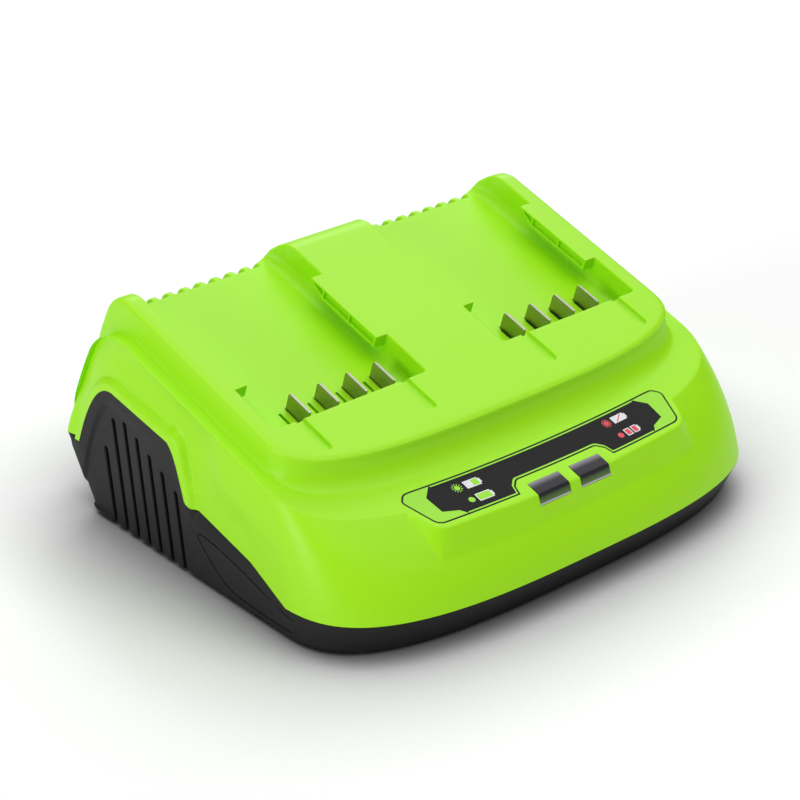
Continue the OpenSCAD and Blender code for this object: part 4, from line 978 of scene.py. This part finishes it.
# colours across a lens's top, by s, and down its face, by h: the near-black smoked tint with a dark green
# band, and painted highlights, a pale strip at the top's rear edge and a pale lower part of the face
TOP_TINT_AND_HIGHLIGHT = [(-58.6, (150, 148, 154)), (-59.6, (128, 126, 132)), (-60.7, (84, 82, 88)),
               (-61.6, (46, 45, 49)), (-65.6, (40, 40, 42))]
FACE_TINT_AND_HIGHLIGHT = [(-9.7, (40, 40, 42)), (-10.35, (30, 31, 31)), (-10.55, (52, 74, 38)), (-12.0, (84, 118, 52)),
                (-12.25, (70, 84, 64)), (-12.45, (176, 182, 176)), (-13.2, (196, 200, 196))]
FACE_TO_TOP = (-10.6, -10.0)


def smoke():
    """Smoked lens finish: near black with a dark green band on its face, and painted highlights: a pale strip
    along its rear edge and a pale lower part of its face.

    Object space is turned by the deck's tilt, so that its Y runs with s and its Z with h.
    """
    mat, tree, shader = finish("smoked_lens", (0.02, 0.02, 0.022), 0.16, spec=0.25)
    turn = tree.nodes.new("ShaderNodeMapping")
    turn.inputs["Rotation"].default_value = (-TILT, 0, 0)
    tree.links.new(tree.nodes.new("ShaderNodeTexCoord").outputs["Object"], turn.inputs["Vector"])
    split = tree.nodes.new("ShaderNodeSeparateXYZ")
    tree.links.new(turn.outputs["Vector"], split.inputs["Vector"])
    origin = Matrix.Rotation(-TILT, 3, "X") @ Vector((0, DECK_Y * MM, DECK_Z * MM))

    def ramp(output, start, stops):
        """Colours along a turned axis: stops are deck positions with their colours."""
        lo, hi = min(v for v, _ in stops), max(v for v, _ in stops)
        node = tree.nodes.new("ShaderNodeValToRGB")
        tree.links.new(map_range(tree, output, (start + lo * MM, start + hi * MM)), node.inputs["Fac"])
        first, *middle, last = sorted(((v - lo) / (hi - lo), (*linear(*c), 1)) for v, c in stops)
        band = node.color_ramp.elements
        band[0].position, band[0].color = first
        band[-1].position, band[-1].color = last
        for at, colour in middle:
            band.new(at).color = colour
        return node.outputs["Color"]
    # the pale ends of these ramps are painted highlights laid into the base colour
    top = ramp(split.outputs["Y"], origin.y, TOP_TINT_AND_HIGHLIGHT)
    face = ramp(split.outputs["Z"], origin.z, FACE_TINT_AND_HIGHLIGHT)
    pick = map_range(tree, split.outputs["Z"], [origin.z + h * MM for h in FACE_TO_TOP])
    blended(tree, shader, pick, face, top)
    rough = map_range(tree, object_noise(tree, 700), (0, 1), (0.12, 0.2))
    tree.links.new(rough, shader.inputs["Roughness"])
    return mat


SMOKE = smoke()
for side, name in ((-1, "left"), (1, "right")):
    piece(light_lens(side), SMOKE, "lens", "light_lens_" + name)


# ---- finishes and edges of the nodes that are shown as they come
CARRIER = plastic("carrier_plastic", (40, 40, 42), 0.5)
ZINC = metal("zinc_plate", (176, 178, 182), 0.3, (300, 300, 300))
MASK = plastic("solder_mask", (16, 84, 44), 0.32, scale=400, strength=0.1, drift=0.12)
FERRITE = plastic("ferrite", (52, 52, 56), 0.6, scale=500, strength=0.35, drift=0.1)
TAPE = plastic("winding_tape", (214, 168, 50), 0.34, scale=250, strength=0.15, drift=0.06)
ALUMINIUM = metal("extruded_aluminium", (198, 201, 205), 0.34, (30, 900, 30))
PACKAGE = plastic("package_epoxy", (30, 30, 31), 0.55, strength=0.25)
SLEEVE = plastic("shrink_sleeve", (34, 42, 84), 0.28, scale=200, strength=0.08, drift=0.08)
COPPER = metal("enamelled_copper", (190, 108, 60), 0.3, (900, 40, 900), 0.3)
CERAMIC = plastic("ceramic", (222, 216, 196), 0.4, scale=600, strength=0.15)
NYLON = plastic("nylon", (228, 226, 214), 0.42, scale=700)
LED = plastic("light_body", (236, 234, 222), 0.3, strength=0.05)
RUBBER = plastic("rubber", (28, 28, 28), 0.75, scale=1300, strength=0.3, drift=0.12)
BRONZE = metal("sintered_bronze", (180, 138, 74), 0.45, (700, 700, 700), 0.3)
STEEL = metal("ground_steel", (190, 190, 192), 0.22, (40, 1200, 40))
NODE_FINISH = {
    "terminal_blades_left": (NICKEL, 0.16), "terminal_blades_right": (NICKEL, 0.16),
    "terminal_block_left": (CARRIER, 0.3), "terminal_block_right": (CARRIER, 0.3),
    "terminal_screws": (ZINC, 0.2), "board_screws": (ZINC, 0.3), "housing_screws": (ZINC, 0.25),
    "display_board": (MASK, 0.1), "main_board": (MASK, 0.15), "status_lights": (LED, 0.2),
    "transformer_core": (FERRITE, 0.5), "transformer_winding": (TAPE, 0.6),
    "heat_sink_primary": (ALUMINIUM, 0.15), "heat_sink_secondary": (ALUMINIUM, 0.15),
    "power_transistors": (PACKAGE, 0.2), "bulk_capacitors": (SLEEVE, 0.6), "output_capacitors": (SLEEVE, 0.5),
    "filter_choke": (COPPER, 0), "fuse": (CERAMIC, 0.3), "mains_terminal": (NYLON, 0.3),
    "output_sockets": (NYLON, 0.3), "fan_frame": (CARRIER, 0.3), "fan_bearing": (BRONZE, 0.15),
    "fan_stator": (COPPER, 0.3), "fan_rotor": (CARRIER, 0), "fan_shaft": (STEEL, 0.2),
    "cord_gland": (RUBBER, 0.5), "rubber_feet": (RUBBER, 0.4),
}
for name, (mat, round_off) in NODE_FINISH.items():
    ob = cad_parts[name]
    ob.data.materials.clear()
    ob.data.materials.append(mat)
    if round_off:
        soften(ob, round_off)


# ---- stage, light and camera
FLOOR_HALF, FLOOR_Z = 4000, -0.2


def pale_floor():
    """A pale floor that keeps the charger's shadow, its colour darkened near the charger by painted shade
    from ambient occlusion.
    """
    corners = [[x, y, FLOOR_Z] for x, y in block(-FLOOR_HALF, -FLOOR_HALF, FLOOR_HALF, FLOOR_HALF)]
    ob = make_mesh("floor", corners, [[0, 1, 2, 3]])
    mat, tree, shader = finish("floor_paint", (0.97, 0.97, 0.97), 0.7, spec=0.1)
    grain(tree, shader, object_noise(tree, 120, 3.0), 0.02)
    # painted shade: ambient occlusion darkens the floor's colour close to the charger, on top of the lamps'
    # real shadow
    near, painted_shade = (tree.nodes.new("ShaderNode" + kind) for kind in ("AmbientOcclusion", "Math"))
    near.inputs["Distance"].default_value = 0.07
    painted_shade.operation = "POWER"
    painted_shade.inputs[1].default_value = 1.2
    tree.links.new(near.outputs["AO"], painted_shade.inputs[0])
    blended(tree, shader, painted_shade.outputs[0], [0.02] * 3, [0.995] * 3)
    ob.data.materials.append(mat)


def studio_world():
    """Faint fill light; the camera and clear pieces see full white, reflections a dim one."""
    world = bpy.data.worlds.new("studio")
    bpy.context.scene.world = world
    world.use_nodes = True
    tree = world.node_tree
    tree.nodes.clear()

    def background(colour, strength):
        node = tree.nodes.new("ShaderNodeBackground")
        node.inputs["Color"].default_value, node.inputs["Strength"].default_value = (*colour, 1), strength
        return node.outputs[0]
    path = tree.nodes.new("ShaderNodeLightPath")
    last = background((0.95, 0.97, 1), 0.06)
    for ray, strength in (("Is Glossy Ray", 0.15), ("Is Transmission Ray", 1.0), ("Is Camera Ray", 1.0)):
        pick = tree.nodes.new("ShaderNodeMixShader")
        for socket, source in zip(pick.inputs, (path.outputs[ray], last, background((1, 1, 1), strength))):
            tree.links.new(source, socket)
        last = pick.outputs[0]
    tree.links.new(last, tree.nodes.new("ShaderNodeOutputWorld").inputs["Surface"])


def lamp(name, turn, rise, spread, strength):
    """A distant lamp: its bearing round the charger, its height and its width, in degrees."""
    data = bpy.data.lights.new(name, "SUN")
    data.angle, data.energy = math.radians(spread), strength
    ob = bpy.data.objects.new(name, data)
    bpy.context.scene.collection.objects.link(ob)
    ob.rotation_euler = math.radians(90 - rise), 0, math.radians(90 + turn)


CAMERA_TURN, CAMERA_RISE, CAMERA_LENS, SENSOR = -40.84, 26.93, 105.42, 36
CAMERA_OFF = Vector((-24.51, -16.73, 876.7))


def set_camera():
    """The camera: turned and raised in degrees, set off from the deck's own point along its own axes."""
    data = bpy.data.cameras.new("camera")
    data.lens, data.sensor_width = CAMERA_LENS, SENSOR
    ob = bpy.data.objects.new("camera", data)
    bpy.context.scene.collection.objects.link(ob)
    ob.rotation_euler = math.radians(90 - CAMERA_RISE), 0, math.radians(CAMERA_TURN)
    ob.location = (Vector((0, DECK_Y, DECK_Z)) + ob.rotation_euler.to_matrix() @ CAMERA_OFF) * MM
    bpy.context.scene.camera = ob


pale_floor()
studio_world()
lamp("over_front", 270, 68, 75, 1.5)
lamp("over_back", 60, 66, 75, 1.2)
lamp("rear_right", 45, 32, 30, 0.65)
lamp("low_left", 180, 11, 25, 1.2)
set_camera()
bpy.context.scene.view_settings.view_transform = "Standard"
